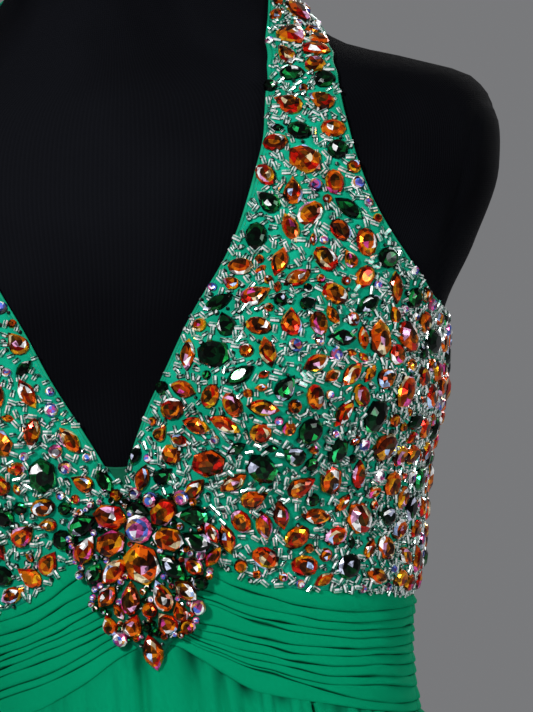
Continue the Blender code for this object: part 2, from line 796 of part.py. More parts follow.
def build_pleated(name, rows, sign, material, parent):
    """A wall whose outer rows stand in pleats over a plain inside."""
    high, wide = len(rows), len(rows[0])
    outer = [over_figure(sign * t, z, CLOTH_OUT + rise) for row in rows for t, z, rise in row]
    rim = [(0, c) for c in range(wide)] + [(r, wide - 1) for r in range(1, high)]
    rim += [(high - 1, c) for c in range(wide - 2, -1, -1)] + [(r, 0) for r in range(high - 2, 0, -1)]
    outline = [(rows[r][c][0], rows[r][c][1]) for r, c in rim]
    inner = grid_inside(outline, INNER_STEP, INNER_STEP * 0.45)
    points = outer + [over_figure(sign * t, z, CLOTH_IN) for t, z in outline + inner]
    first_inner = len(outer)
    faces = []
    for r in range(high - 1):
        for c in range(wide - 1):
            a = r * wide + c
            faces += [[a, a + 1, a + wide + 1], [a, a + wide + 1, a + wide]]
    faces += [[i + first_inner for i in reversed(face)] for face in triangulate(outline, inner)]
    for k, (r, c) in enumerate(rim):
        n = (k + 1) % len(rim)
        a, b = r * wide + c, rim[n][0] * wide + rim[n][1]
        faces += [[a, k + first_inner, n + first_inner], [a, n + first_inner, b]]
    if sign < 0:
        faces = [list(reversed(face)) for face in faces]
    add_object(name, points, faces, material, parent)


def applique_outline():
    """The closed edge of the applique, anticlockwise from outside."""
    edge = [(x, z) for x, z in reversed(APPLIQUE_EDGE)] + [(-x, z) for x, z in APPLIQUE_EDGE[1:-1]]
    return [(turn_at(x + APPLIQUE_SHIFT, z), z) for x, z in edge]


def applique_lift(inner):
    """Its inside clears the plain bodice above and the raised pleats below."""
    def lift(_turn, z):
        share = min(1.0, max(0.0, (APPLIQUE_STEP_Z - z) / APPLIQUE_STEP))
        clear = CLOTH_OUT + APPLIQUE_CLEAR + share * PLEAT_RISE
        return clear if inner else clear + APPLIQUE_THICK
    return lift


def build_applique(materials, parent):
    """The thick stone applique at centre front, its large stones raised."""
    stones = []
    for x, z, length, width, height, tilt in APPLIQUE_STONES:
        for sign in ((1, -1) if x > 0 else (1,)):
            kind = "oval" if width > OVAL_LEAST_WIDTH else "navette"
            stones.append({"kind": kind, "turn": turn_at(sign * x + APPLIQUE_SHIFT, z), "z": z,
                           "tilt": tilt if sign > 0 else 180 - tilt, "length": length,
                           "width": width, "height": height})
    points, edges = raise_stones(stones)
    wall_object("centre_applique", applique_outline(), applique_lift(True), applique_lift(False),
                materials["applique"], parent, points, edges, (), APPLIQUE_INNER_STEP)


def fold_at(turn):
    """Where a turn lies among the folds: the wave's height and its depth factor."""
    total = sum(share for share, _ in FOLDS)
    at = (turn % 360) / 360 * total
    for share, depth in FOLDS:
        if at <= share:
            wave = at / share
            return math.cos(2 * math.pi * wave), depth
        at -= share
    return 1.0, FOLDS[-1][1]


def fold_turns(start, end):
    """Turns at the crests, valleys and slopes of the folds between two turns."""
    total = sum(share for share, _ in FOLDS)
    marks, at = [], 0.0
    for share, _ in FOLDS:
        marks += [(at + share * k / 6) / total * 360 for k in range(6)]
        at += share
    marks += [m + 360 for m in marks]
    inside = [m for m in marks if start + 1.2 < m < end - 1.2]
    return [start] + inside + [end]


def skirt_point(turn, z, lift):
    """The skirt's surface: close to the figure at its seam, folded below."""
    row = smooth_row(SKIRT, z)
    wave, depth = fold_at(turn)
    seam_z = smooth_row(SKIRT_SEAM, abs((turn + 180) % 360 - 180))[0]
    near = min(1.0, max(0.0, (seam_z - z) / GATHER_LENGTH))
    near = near * near * (3 - 2 * near)
    close = over_figure(turn, z, lift)
    base = section_point(row, turn, z)
    outward = Vector((base.x, base.y - row[3], 0)).normalized()
    fall = base + outward * (row[5] * depth * wave + lift - CLOTH_OUT)
    return close.lerp(fall, near)


def build_skirt(materials, parent):
    """Front and two back gores, gathered under the midriff seam, down to the hem."""
    pieces = (("skirt_front", -90, 90), ("skirt_back_left", 90, 180), ("skirt_back_right", -180, -90))
    for name, start, end in pieces:
        turns = [t - start % 360 + start for t in fold_turns(start % 360, start % 360 + end - start)]
        rows = []
        for share in reversed(SKIRT_ROWS):
            row = []
            for turn in turns:
                seam = smooth_row(SKIRT_SEAM, abs(turn))[0] - SEAM_GAP
                row.append((turn, seam + (HEM_Z - seam) * share))
            section = smooth_row(SKIRT, row[0][1])
            for end_of_row, inward in ((0, 1), (-1, -1)):
                turn, z = row[end_of_row]
                at_back = abs(turn) == 180
                radius = section[2] if at_back else section[0]
                half_gap = math.degrees(SEAM_GAP / 2 / radius) * (ZIP_SHARE if at_back else 1)
                row[end_of_row] = (turn + inward * half_gap, z)
            rows.append(row)

        def surface(r, c, face, rows=rows):
            turn, z = rows[r][c]
            return skirt_point(turn, z, CLOTH_OUT if face == 0 else CLOTH_OUT - SKIRT_THICK)

        grid_wall(name, rows, surface, materials["chiffon"], parent)


def ring_solid(name, rings, material, parent, origin=(0, 0, 0)):
    """A closed solid through rings of points, its two ends filled."""
    count = len(rings[0])
    points = [p for ring in rings for p in ring]
    faces = [list(reversed(range(count)))]
    for r in range(len(rings) - 1):
        for k in range(count):
            n = (k + 1) % count
            a, b = r * count + k, r * count + n
            faces += [[a, b, b + count], [a, b + count, a + count]]
    faces.append([(len(rings) - 1) * count + k for k in range(count)])
    return add_object(name, points, faces, material, parent, origin)


def turned(name, profile, sides, material, parent):
    """A round piece on the Z axis from (radius, height) rows, bottom to top."""
    rings = [[Vector((r * math.cos(2 * math.pi * k / sides), r * math.sin(2 * math.pi * k / sides), z))
              for k in range(sides)] for r, z in profile]
    return ring_solid(name, rings, material, parent)


def build_form(materials, parent):
    """The jersey-covered torso without limbs, its neck cap, pole, collar and base."""
    turns = [-90 + 180 * k / FORM_FRONT_SIDES for k in range(FORM_FRONT_SIDES)]
    turns += [90 + 180 * k / FORM_BACK_SIDES for k in range(FORM_BACK_SIDES)]
    rings = []
    for z in FORM_HEIGHTS:
        sink = FORM_SINK if z > TORSO_BOTTOM_Z else FORM_BEVEL
        rings.append([over_figure(turn, z, -sink) for turn in turns])
    for point in rings[0]:
        point.z = TORSO_BOTTOM_Z
    ring_solid("form_torso", rings, materials["jersey"], parent)
    half_w, front, back, mid_y, _ = smooth_row(FIGURE, NECK_TOP_Z)
    cap = []
    for share, rise in CAP_PROFILE:
        row = (half_w * share, front * share, back * share, mid_y, 0.0)
        cap.append([section_point(row, 360 * k / CAP_SIDES, NECK_TOP_Z + rise) for k in range(CAP_SIDES)])
    ring_solid("form_neck_cap", cap, materials["cap"], parent)
    pole = ((POLE_R, BASE_PROFILE[-1][1] + TOUCH_GAP),
            (POLE_R, TORSO_BOTTOM_Z - COLLAR_HEIGHT - TOUCH_GAP))
    turned("form_base", BASE_PROFILE, 36, materials["steel"], parent)
    turned("form_pole", pole, 16, materials["chrome"], parent)
    turned("form_collar", COLLAR_PROFILE, 24, materials["steel"], parent)


def box_part(name, size, centre, parent, material):
    """A box with its sizes in x, y, z around a centre."""
    half = [s / 2 for s in size]
    points = [Vector((centre[0] + sx * half[0], centre[1] + sy * half[1], centre[2] + sz * half[2]))
              for sz in (-1, 1) for sy in (-1, 1) for sx in (-1, 1)]
    faces = [[0, 2, 3, 1], [4, 5, 7, 6], [0, 1, 5, 4], [1, 3, 7, 5], [3, 2, 6, 7], [2, 0, 4, 6]]
    return add_object(name, points, faces, material, parent)


def combine(base, tools, operation):
    """Boolean with tools that stay out of the finished model."""
    for tool in tools:
        change = base.modifiers.new(operation.lower(), "BOOLEAN")
        change.operation = operation
        change.object = tool
        tool.hide_render = True
        tool.display_type = "WIRE"
    return base


def build_zip(materials, parent):
    """The slider at the top of the centre-back zip and its hinged pull tab."""
    seats = [figure_point(180, ZIP_Z + share * ZIP_PLATE[2]) for share in (-0.5, 0.0, 0.5)]
    plate_y = max(seat.y for seat in seats) + CLOTH_OUT + ZIP_SEAT
    plate_top = plate_y + ZIP_PLATE[1]
    bar_y = plate_top + ZIP_CLEAR + ZIP_BAR / 2
    roof_y = bar_y + ZIP_BAR / 2 + ZIP_CLEAR
    bridge_low, bridge_high = plate_top - ZIP_SEAT, roof_y + ZIP_BRIDGE_STRIP
    slider = box_part("zip_slider", ZIP_PLATE, (0, plate_y + ZIP_PLATE[1] / 2, ZIP_Z),
                      parent, materials["zip"])
    bridge = box_part("cut_bridge", (ZIP_BRIDGE_W, bridge_high - bridge_low, ZIP_BRIDGE_H),
                      (0, (bridge_high + bridge_low) / 2, ZIP_Z), parent, materials["zip"])
    eye = box_part("cut_eye", (ZIP_BRIDGE_W * 2, roof_y - plate_top, ZIP_BRIDGE_H - 2 * ZIP_BRIDGE_STRIP),
                   (0, (roof_y + plate_top) / 2, ZIP_Z), parent, materials["zip"])
    combine(slider, [bridge], "UNION")
    combine(slider, [eye], "DIFFERENCE")
    outline = list(TAB_HALF_OUTLINE) + [(-x, z) for x, z in reversed(TAB_HALF_OUTLINE)]
    count = len(outline)
    points = [Vector((x, bar_y + dy, ZIP_Z + z)) for dy in (-ZIP_BAR / 2, ZIP_BAR / 2)
              for x, z in outline]
    faces = [list(range(count)), list(reversed(range(count, 2 * count)))]
    for k in range(count):
        n = (k + 1) % count
        faces.append([k, k + count, n + count, n])
    tab = add_object("zip_pull_tab", points, faces, materials["zip"], parent, (0, bar_y, ZIP_Z))
    turn_outwards(tab)
    hole = box_part("cut_hole", (TAB_HOLE[0], ZIP_BAR * 3, TAB_HOLE[1]),
                    (0, bar_y, ZIP_Z - ZIP_BAR / 2 - TAB_HOLE[1] / 2), parent, materials["zip"])
    combine(tab, [hole], "DIFFERENCE")
    print("zip hinge", round(bar_y, 5), round(ZIP_Z, 5))


def main():
    for item in list(bpy.data.objects):
        bpy.data.objects.remove(item, do_unlink=True)
    dress = bpy.data.objects.new("dress_on_form", None)
    bpy.context.scene.collection.objects.link(dress)
    materials = {
        "beaded": new_material("beaded_bodice", (0.03, 0.32, 0.19), 0.45),
        "satin": new_material("green_satin", (0.01, 0.25, 0.14), 0.40),
        "chiffon": new_material("green_chiffon", (0.00, 0.27, 0.12), 0.75),
        "applique": new_material("stone_applique", (0.55, 0.15, 0.04), 0.25),
        "jersey": new_material("black_jersey", (0.006, 0.006, 0.008), 0.90),
        "cap": new_material("black_cap", (0.01, 0.01, 0.01), 0.40),
        "steel": new_material("black_steel", (0.02, 0.02, 0.02), 0.45, 0.6),
        "chrome": new_material("bright_steel", (0.60, 0.60, 0.62), 0.25, 1.0),
        "zip": new_material("green_zip", (0.02, 0.22, 0.13), 0.35, 0.3),
    }
    build_form(materials, dress)
    build_bodice(materials, dress)
    build_straps(materials, dress)
    build_midriff(materials, dress)
    build_applique(materials, dress)
    build_skirt(materials, dress)
    build_zip(materials, dress)


main()
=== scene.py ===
import math
import random

import bmesh
import bpy
import numpy as np
from mathutils import Matrix, Vector
from mathutils.geometry import delaunay_2d_cdt


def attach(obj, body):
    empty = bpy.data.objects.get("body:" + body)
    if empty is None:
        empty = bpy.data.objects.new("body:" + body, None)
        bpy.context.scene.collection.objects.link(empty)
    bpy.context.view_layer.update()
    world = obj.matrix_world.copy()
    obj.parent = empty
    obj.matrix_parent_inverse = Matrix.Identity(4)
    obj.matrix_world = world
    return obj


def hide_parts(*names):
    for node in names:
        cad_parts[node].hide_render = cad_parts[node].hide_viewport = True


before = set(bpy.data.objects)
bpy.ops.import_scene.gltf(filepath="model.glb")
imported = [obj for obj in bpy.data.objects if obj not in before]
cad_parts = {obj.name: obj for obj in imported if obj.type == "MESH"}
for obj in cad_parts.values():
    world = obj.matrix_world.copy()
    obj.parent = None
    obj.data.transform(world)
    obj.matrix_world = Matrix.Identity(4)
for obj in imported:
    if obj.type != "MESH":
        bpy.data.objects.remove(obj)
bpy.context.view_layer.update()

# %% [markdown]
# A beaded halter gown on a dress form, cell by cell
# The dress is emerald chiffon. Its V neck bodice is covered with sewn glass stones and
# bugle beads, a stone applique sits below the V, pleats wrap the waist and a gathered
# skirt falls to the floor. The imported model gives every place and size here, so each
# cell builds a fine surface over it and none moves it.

BODY = "dress_and_form"

# %% [markdown]
# The camera comes first, because it decides which details are worth making.
# The picture looks a little from the wearer's left and leans by a few degrees, from one
# and a half metres away. One pixel covers about half a millimetre there, which is why
# single beads and pleats are modelled while the weave is only bump.

# %% Set the camera to the picture's angle
PICTURE_HEIGHT = 712
PIXEL_SIZE = 0.00054
CAMERA_DISTANCE = 1.5
CAMERA_AZIMUTH = math.radians(12)
CAMERA_ROLL = math.radians(-5.5)
CAMERA_TARGET = Vector((0.0557, 0.0112, 1.2859))
SENSOR = 24.0


def new_object(name, data):
    """An object in the scene's own collection."""
    item = bpy.data.objects.new(name, data)
    bpy.context.scene.collection.objects.link(item)
    return item


def add_camera():
    """A camera that looks level at the bodice, rolled as the picture is."""
    back = Vector((math.sin(CAMERA_AZIMUTH), -math.cos(CAMERA_AZIMUTH), 0))
    right = Vector((math.cos(CAMERA_AZIMUTH), math.sin(CAMERA_AZIMUTH), 0))
    up = Vector((0, 0, 1))
    across = right * math.cos(CAMERA_ROLL) + up * math.sin(CAMERA_ROLL)
    above = up * math.cos(CAMERA_ROLL) - right * math.sin(CAMERA_ROLL)
    data = bpy.data.cameras.new("camera")
    data.sensor_fit = "VERTICAL"
    data.sensor_height = SENSOR
    data.lens = SENSOR * CAMERA_DISTANCE / PIXEL_SIZE / PICTURE_HEIGHT
    camera = new_object("camera", data)
    turn = Matrix((across, above, back)).transposed().to_4x4()
    camera.matrix_world = Matrix.Translation(CAMERA_TARGET + back * CAMERA_DISTANCE) @ turn
    bpy.context.scene.camera = camera
    return camera


print("lens", round(add_camera().data.lens, 1), "mm")

# %% [markdown]
# A dress is cut to a figure, so the figure is written down once as level sections:
# half width, depth to the front and to the back, and how square the section is. Two
# soft lobes make the cups. Every cloth point is then a turn around the body, a height
# and a lift off the figure, which keeps all layers parallel. Reading a table with
# monotone cubic curves gives smooth sides that never bulge between two rows.

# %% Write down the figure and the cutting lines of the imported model
HEM_Z = 0.014
SIDE_TOP_Z = 1.300
V_BOTTOM_Z = 1.2375
INSET_TIP_Z = 1.2250
NECK_TOP_Z = 1.550
TORSO_BOTTOM_Z = 0.80
SEAM_GAP = 0.0005
CLOTH_OUT = 0.0025
EDGE_STEP = 0.011
EDGE_ROW_SHARE = 0.85
THIN_SHARE = 0.8
GIRTH_R = 0.140
SEAM_R = 0.083
NAPE_R = 0.055
ZIP_SHARE = 1.4
FIGURE_ROWS = (
    # z,    half_w, front, back,  mid_y, square
    (0.800, 0.1650, 0.105, 0.125, 0.000, 0.12),
    (0.900, 0.1720, 0.108, 0.130, 0.000, 0.12),
    (1.000, 0.1430, 0.099, 0.108, 0.000, 0.10),
    (1.050, 0.1240, 0.092, 0.092, 0.000, 0.09),
    (1.090, 0.1180, 0.089, 0.085, 0.000, 0.08),
    (1.120, 0.1170, 0.089, 0.083, 0.000, 0.08),
    (1.148, 0.1200, 0.090, 0.083, 0.000, 0.08),
    (1.170, 0.1270, 0.092, 0.085, 0.000, 0.09),
    (1.222, 0.1360, 0.095, 0.091, 0.000, 0.11),
    (1.253, 0.1465, 0.096, 0.096, 0.000, 0.12),
    (1.300, 0.1550, 0.094, 0.102, 0.000, 0.14),
    (1.335, 0.1740, 0.090, 0.105, 0.003, 0.16),
    (1.375, 0.1915, 0.085, 0.102, 0.006, 0.16),
    (1.395, 0.1935, 0.079, 0.098, 0.008, 0.15),
    (1.410, 0.1905, 0.075, 0.094, 0.010, 0.13),
    (1.424, 0.1810, 0.069, 0.088, 0.012, 0.10),
    (1.437, 0.1500, 0.064, 0.081, 0.015, 0.08),
    (1.450, 0.1140, 0.060, 0.075, 0.017, 0.05),
    (1.462, 0.0980, 0.058, 0.070, 0.018, 0.03),
    (1.480, 0.0830, 0.056, 0.064, 0.019, 0.00),
    (1.500, 0.0700, 0.054, 0.059, 0.020, 0.00),
    (1.522, 0.0610, 0.053, 0.055, 0.020, 0.00),
    (1.575, 0.0560, 0.052, 0.053, 0.018, 0.00),
)
BUST = {"x": 0.080, "z": 1.268, "rise": 0.034, "spread_x": 0.050, "spread_z": 0.048}
SKIRT_ROWS = (
    # z,    half_w, front, back,  mid_y, square, fold
    (0.014, 0.3750, 0.325, 0.345, 0.000, 0.00, 0.0300),
    (0.300, 0.3050, 0.255, 0.275, 0.000, 0.02, 0.0220),
    (0.600, 0.2420, 0.188, 0.208, 0.000, 0.06, 0.0140),
    (0.800, 0.2040, 0.143, 0.163, 0.000, 0.10, 0.0090),
    (0.900, 0.1860, 0.122, 0.144, 0.000, 0.12, 0.0060),
    (1.000, 0.1560, 0.110, 0.120, 0.000, 0.10, 0.0035),
    (1.060, 0.1300, 0.099, 0.098, 0.000, 0.09, 0.0018),
    (1.150, 0.1260, 0.095, 0.089, 0.000, 0.08, 0.0000),
)
NECKLINE_ROWS = (
    # z,     x
    (1.2390, 0.0095),
    (1.2600, 0.0190),
    (1.2810, 0.0290),
    (1.3070, 0.0405),
    (1.3290, 0.0545),
    (1.3465, 0.0650),
    (1.3755, 0.0760),
    (1.4010, 0.0822),
    (1.4395, 0.0818),
)
ARMHOLE_ROWS = (
    # z,     x
    (SIDE_TOP_Z, 0.1552),
    (1.3145, 0.1530),
    (1.3343, 0.1448),
    (1.3605, 0.1340),
    (1.3865, 0.1265),
    (1.4135, 0.1202),
    (1.4425, 0.1112),
)
UNDERBUST_ROWS = (
    # turn, z
    (0, 1.203),
    (9, 1.197),
    (15, 1.189),
    (20, 1.180),
    (28, 1.171),
    (37, 1.167),
    (54, 1.162),
    (90, 1.154),
    (180, 1.150),
)
SKIRT_SEAM_ROWS = (
    # turn, z
    (0, 1.151),
    (5, 1.149),
    (13, 1.141),
    (22, 1.129),
    (30, 1.120),
    (43, 1.112),
    (61, 1.102),
    (90, 1.092),
    (180, 1.088),
)
BACK_TOP_ROWS = (
    # turn, z
    (90, SIDE_TOP_Z),
    (120, 1.285),
    (150, 1.270),
    (180, 1.264),
)
STRAP_SHOULDER = (
    # neck_turn, neck_z, arm_turn, arm_z
    (41.5, 1.4485, 65.0, 1.4480),
    (54.0, 1.4630, 77.5, 1.4545),
    (71.0, 1.4815, 86.0, 1.4615),
    (90.0, 1.4940, 92.0, 1.4690),
)
STRAP_NAPE = (
    # neck_turn, neck_z, arm_turn, arm_z
    (90.0, 1.4940, 92.0, 1.4690),
    (120.0, 1.5035, 120.0, 1.4800),
    (150.0, 1.5100, 150.0, 1.4870),
    (180.0, 1.5130, 180.0, 1.4890),
)
FRONT_TURNS = (0, 4, 8, 12, 16, 21, 27, 34, 43, 54, 66, 78, 90)
BACK_TURNS = (90, 100, 110, 120, 130, 140, 150, 160, 170, 180)


def curve(rows):
    """A table made ready for smooth reading: places, values and slopes without overshoot."""
    rows = np.array(rows, float)
    at, values = rows[:, 0], rows[:, 1:]
    step = np.diff(at)[:, None]
    rate = np.diff(values, axis=0) / step
    slopes = np.zeros_like(values)
    slopes[0], slopes[-1] = rate[0], rate[-1]
    with np.errstate(divide="ignore", invalid="ignore"):
        mean = 3 * (step[:-1] + step[1:]) / ((2 * step[1:] + step[:-1]) / rate[:-1]
                                             + (step[1:] + 2 * step[:-1]) / rate[1:])
    slopes[1:-1] = np.where(rate[:-1] * rate[1:] > 0, mean, 0.0)
    return at, values, slopes


def read(table, at):
    """The table's columns at each place, along the last axis."""
    places, values, slopes = table
    at = np.clip(np.asarray(at, float), places[0], places[-1])
    low = np.clip(np.searchsorted(places, at) - 1, 0, len(places) - 2)
    span = (places[low + 1] - places[low])[..., None]
    t = (at - places[low])[..., None] / span
    return (values[low] * (1 + 2 * t) * (1 - t) ** 2 + slopes[low] * span * t * (1 - t) ** 2
            + values[low + 1] * t * t * (3 - 2 * t) + slopes[low + 1] * span * t * t * (t - 1))


def read_first(table, at):
    """The table's first column alone."""
    return read(table, at)[..., 0]


def ramp(value, length):
    """A rise from 0 to 1 over a length, level before and after it."""
    return np.clip(value / length, 0, 1)


def bell(off, reach):
    """1 in the middle, falling away softly on both sides."""
    return np.exp(-(off / reach) ** 2)


def numbered_curve(rows):
    """A smooth line through rows, read by their number."""
    return curve([(k, *row) for k, row in enumerate(rows)])


FIGURE, SKIRT = curve(FIGURE_ROWS), curve(SKIRT_ROWS)
NECKLINE, ARMHOLE = curve(NECKLINE_ROWS), curve(ARMHOLE_ROWS)
UNDERBUST, SKIRT_SEAM = curve(UNDERBUST_ROWS), curve(SKIRT_SEAM_ROWS)
BACK_TOP = curve(BACK_TOP_ROWS)
SEAM_DROPS = {
    # turn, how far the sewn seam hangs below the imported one
    1: curve(((0, 0.0035), (8, 0.0022), (11, 0.0034), (16, 0.0055), (24, 0.0070), (31, 0.0050), (40, 0.0042),
              (50, 0.0034), (68, 0.0020), (90, 0.0), (180, 0.0))),
    -1: curve(((0, 0.0035), (3, 0.0060), (9, 0.0085), (14, 0.0095), (21, 0.0073), (31, 0.0042),
               (50, 0.0028), (68, 0.0015), (90, 0.0), (180, 0.0))),
}


def wrapped(turn):
    """Turns brought within half a circle either side of the front."""
    return (np.asarray(turn, float) + 180) % 360 - 180


def skirt_seam(turn):
    """Height of the seam between pleats and skirt; the pull of the gathers lowers it in front."""
    side = wrapped(turn)
    around = np.abs(side)
    drop = np.where(side >= 0, read_first(SEAM_DROPS[1], around), read_first(SEAM_DROPS[-1], around))
    return read_first(SKIRT_SEAM, around) - drop


print("waist half width", read(FIGURE, 1.12)[0], "m")


# %% Turn a place on the body into a point in space
HALVINGS = 40


def section_point(row, turn, z):
    """Points of level sections at turns in degrees."""
    s, c = np.sin(np.radians(turn)), np.cos(np.radians(turn))
    depth = np.where(c > 0, row[..., 1], row[..., 2])
    x = row[..., 0] * s * (1 + row[..., 4] * c * c)
    y = row[..., 3] - depth * c * (1 + row[..., 4] * s * s)
    return np.stack([x, y, z + 0 * x], axis=-1)


def figure_point(turn, z):
    """The figure's surface with its two cups."""
    turn, z = np.broadcast_arrays(np.asarray(turn, float), np.asarray(z, float))
    point = section_point(read(FIGURE, z), turn, z)
    lobes = 0.0
    for side in (-1, 1):
        across = (point[..., 0] - side * BUST["x"]) / BUST["spread_x"]
        lobes = lobes + np.exp(-across ** 2 - ((z - BUST["z"]) / BUST["spread_z"]) ** 2)
    point[..., 1] -= BUST["rise"] * lobes * np.clip(3 * np.cos(np.radians(turn)), 0, 1)
    return point


def unit(vectors):
    """The same directions with length one."""
    return vectors / np.linalg.norm(vectors, axis=-1, keepdims=True)


def figure_frame(turn, z):
    """Point, unit normal, and how the point moves per degree and per metre of height."""
    step_turn, step_z = 0.4, 0.0008
    by_turn = (figure_point(turn + step_turn, z) - figure_point(turn - step_turn, z)) / (2 * step_turn)
    by_z = (figure_point(turn, z + step_z) - figure_point(turn, z - step_z)) / (2 * step_z)
    return figure_point(turn, z), unit(np.cross(by_turn, by_z)), by_turn, by_z


def over_figure(turn, z, lift):
    """Points lifted off the figure along its normal."""
    turn, z = np.asarray(turn, float), np.asarray(z, float)
    point, normal, _, _ = figure_frame(turn, z)
    return point + normal * np.asarray(lift, float)[..., None]


def in_front(turn):
    """Which turns lie on the front half of the body."""
    return np.cos(np.radians(turn)) > 0


def turn_at(x, z):
    """The turns on the front where the figure lies this far from the middle."""
    x, z = np.broadcast_arrays(np.asarray(x, float), np.asarray(z, float))
    low, high = np.full(x.shape, -90.0), np.full(x.shape, 90.0)
    row = read(FIGURE, z)
    for _ in range(HALVINGS):
        middle = (low + high) / 2
        under = section_point(row, middle, z)[..., 0] < x
        low, high = np.where(under, middle, low), np.where(under, high, middle)
    return (low + high) / 2


print("point of the left cup", figure_point(turn_at(BUST["x"], BUST["z"]), BUST["z"]).round(3))

# %% [markdown]
# Each bodice panel is a cutting line in turns and heights. The same lines shape the
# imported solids, so the fine cloth, its binding and its stones land where those are.
# The panel's corners are taken about every centimetre, and the finer mesh follows.

# %% Draw the panel outlines
def cloth_length(a, b):
    """Metres over the cloth between two places (turn, z)."""
    return math.hypot(math.radians(b[0] - a[0]) * GIRTH_R, b[1] - a[1])


def resample(points, step):
    """The same line through points about one step apart, its ends kept."""
    out = [points[0]]
    for a, b in zip(points, points[1:]):
        parts = max(1, round(cloth_length(a, b) / step))
        out += [(a[0] + (b[0] - a[0]) * k / parts, a[1] + (b[1] - a[1]) * k / parts)
                for k in range(1, parts + 1)]
    return out


def line_along(table, turns, shift=0.0):
    """Points (turn, z) along a line around the body, shifted up or down."""
    return [(turn, float(read(table, turn)[0]) + shift) for turn in turns]


def edge_line(table):
    """Points (turn, z) along a cutting line of the front view, from its lowest row up."""
    low, high = table[0][0], table[0][-1]
    count = round((high - low) / (EDGE_STEP * EDGE_ROW_SHARE))
    heights = [low + (high - low) * k / count for k in range(count + 1)]
    return [(float(turn_at(read(table, z)[0], z)), float(z)) for z in heights]


def panel_turns(turns, seam=SEAM_GAP):
    """The turns of a panel, drawn in at its two seams, more at the zip."""
    half_gap = math.degrees(seam / 2 / SEAM_R)
    last_gap = half_gap * (ZIP_SHARE if turns[-1] == 180 else 1)
    return [turns[0] + half_gap, *turns[1:-1], turns[-1] - last_gap]


def strap_edges(neck_end, arm_end):
    """Pairs of points on the strap's neck and arm edges, up to the shoulder top."""
    first = (neck_end[0], neck_end[1], arm_end[0], arm_end[1])
    table = numbered_curve((first, *STRAP_SHOULDER))
    pairs = []
    for k in range(2 * len(STRAP_SHOULDER) + 1):
        neck_t, neck_z, arm_t, arm_z = (float(v) for v in read(table, k / 2))
        pairs.append(((neck_t, neck_z), (arm_t, arm_z)))
    return pairs


def moved_edge(line, moves):
    """An edge line moved sideways by so much at each height."""
    heights, shifts = np.array(moves).T
    made = []
    for turn, z in line:
        x = float(figure_point(turn, z)[0]) + float(np.interp(z, heights, shifts))
        made.append((float(turn_at(x, z)), z))
    return made


def front_outline(seam=SEAM_GAP, moves=None):
    """Bodice front with its strap, from centre front around its edge."""
    turns = panel_turns(FRONT_TURNS, seam)
    gap, side = turns[0], turns[-1]
    lower = line_along(UNDERBUST, turns, seam / 2)
    side_seam = resample([lower[-1], (side, SIDE_TOP_Z)], EDGE_STEP)[1:]
    armhole = edge_line(ARMHOLE)
    armhole[0] = (side, SIDE_TOP_Z)
    neck = list(reversed(edge_line(NECKLINE)))
    if moves:
        neck = moved_edge(neck, moves)
    middle = [neck[-1], (gap, INSET_TIP_Z), lower[0]]
    strap = strap_edges(neck[0], armhole[-1])
    return {
        "lower": lower,
        "side": side_seam,
        "armhole": resample(armhole, EDGE_STEP)[1:] + [arm for _, arm in strap[1:]],
        "top": resample([strap[-1][1], strap[-1][0]], EDGE_STEP)[1:-1],
        "neck": [inner for inner, _ in reversed(strap[1:])] + neck,
        "middle": resample(middle, EDGE_STEP)[1:-1],
    }


def back_outline(seam=SEAM_GAP):
    """Beaded back band from the side seam to the zip at centre back."""
    turns = panel_turns(BACK_TURNS, seam)
    lower = line_along(UNDERBUST, turns, seam / 2)
    upper = line_along(BACK_TOP, list(reversed(turns)))
    return {
        "lower": lower,
        "zip": resample([lower[-1], upper[0]], EDGE_STEP)[1:-1],
        "top": upper,
        "side": resample([upper[-1], lower[0]], EDGE_STEP)[1:-1],
    }


def whole_line(parts, sign):
    """All parts of an outline as one closed line, anticlockwise from outside."""
    line = [p for part in parts.values() for p in part]
    return line if sign > 0 else [(-t, z) for t, z in reversed(line)]


def rounded_parts(parts, step):
    """The same outline with each part drawn as a smooth line in finer steps."""
    made = {}
    for name, part in parts.items():
        if len(part) > 2:
            spots = read(numbered_curve(part), np.linspace(0, len(part) - 1, 8 * len(part)))
            part = thin_out(resample([(float(a), float(b)) for a, b in spots], step), step)
        made[name] = smooth_line(part, EDGE_ROUNDS) if name in ("neck", "armhole") else part
    return made


def smooth_line(points, rounds):
    """A line with its small waves drawn out, the two ends kept."""
    line = np.array(points)
    for _ in range(rounds):
        line[1:-1] = line[1:-1] / 2 + (line[:-2] + line[2:]) / 4
    return [tuple(point) for point in line.tolist()]


def thin_out(points, step):
    """Points at least most of a step apart, the two ends kept."""
    kept = [points[0]]
    for point in points[1:-1]:
        if cloth_length(kept[-1], point) > step * THIN_SHARE:
            kept.append(point)
    return kept + [points[-1]]


FRONT, BACK = front_outline(), back_outline()
CLOTH_SEAM = 0.00012
CLOTH_STEP = 0.0032
EDGE_ROUNDS = 8
NECK_MOVES = {
    # height, way out from the middle
    1: ((1.228, -0.0066), (1.250, -0.0056), (1.266, -0.0042), (1.278, -0.0016), (1.290, 0.0006),
        (1.305, 0.0022), (1.330, 0.0018), (1.360, 0.0)),
    -1: ((1.245, 0.0), (1.262, 0.0006), (1.285, 0.0020), (1.305, 0.0030), (1.330, 0.0028), (1.360, 0.0)),
}
FRONT_CLOTH = {sign: rounded_parts(front_outline(CLOTH_SEAM, moves), CLOTH_STEP)
               for sign, moves in NECK_MOVES.items()}
BACK_CLOTH = rounded_parts(back_outline(CLOTH_SEAM), CLOTH_STEP)
print("front panel corners", len(whole_line(FRONT, 1)), "back panel corners", len(whole_line(BACK, 1)))


# %% Test where points lie against an outline
def to_flat(turn, z):
    """Panel coordinates in millimetres."""
    return np.stack([np.radians(turn) * GIRTH_R * 1000, np.asarray(z, float) * 1000], axis=-1)


def from_flat(flat):
    """Turns and heights of flat places given in metres."""
    return np.degrees(flat[:, 0] / GIRTH_R), flat[:, 1]


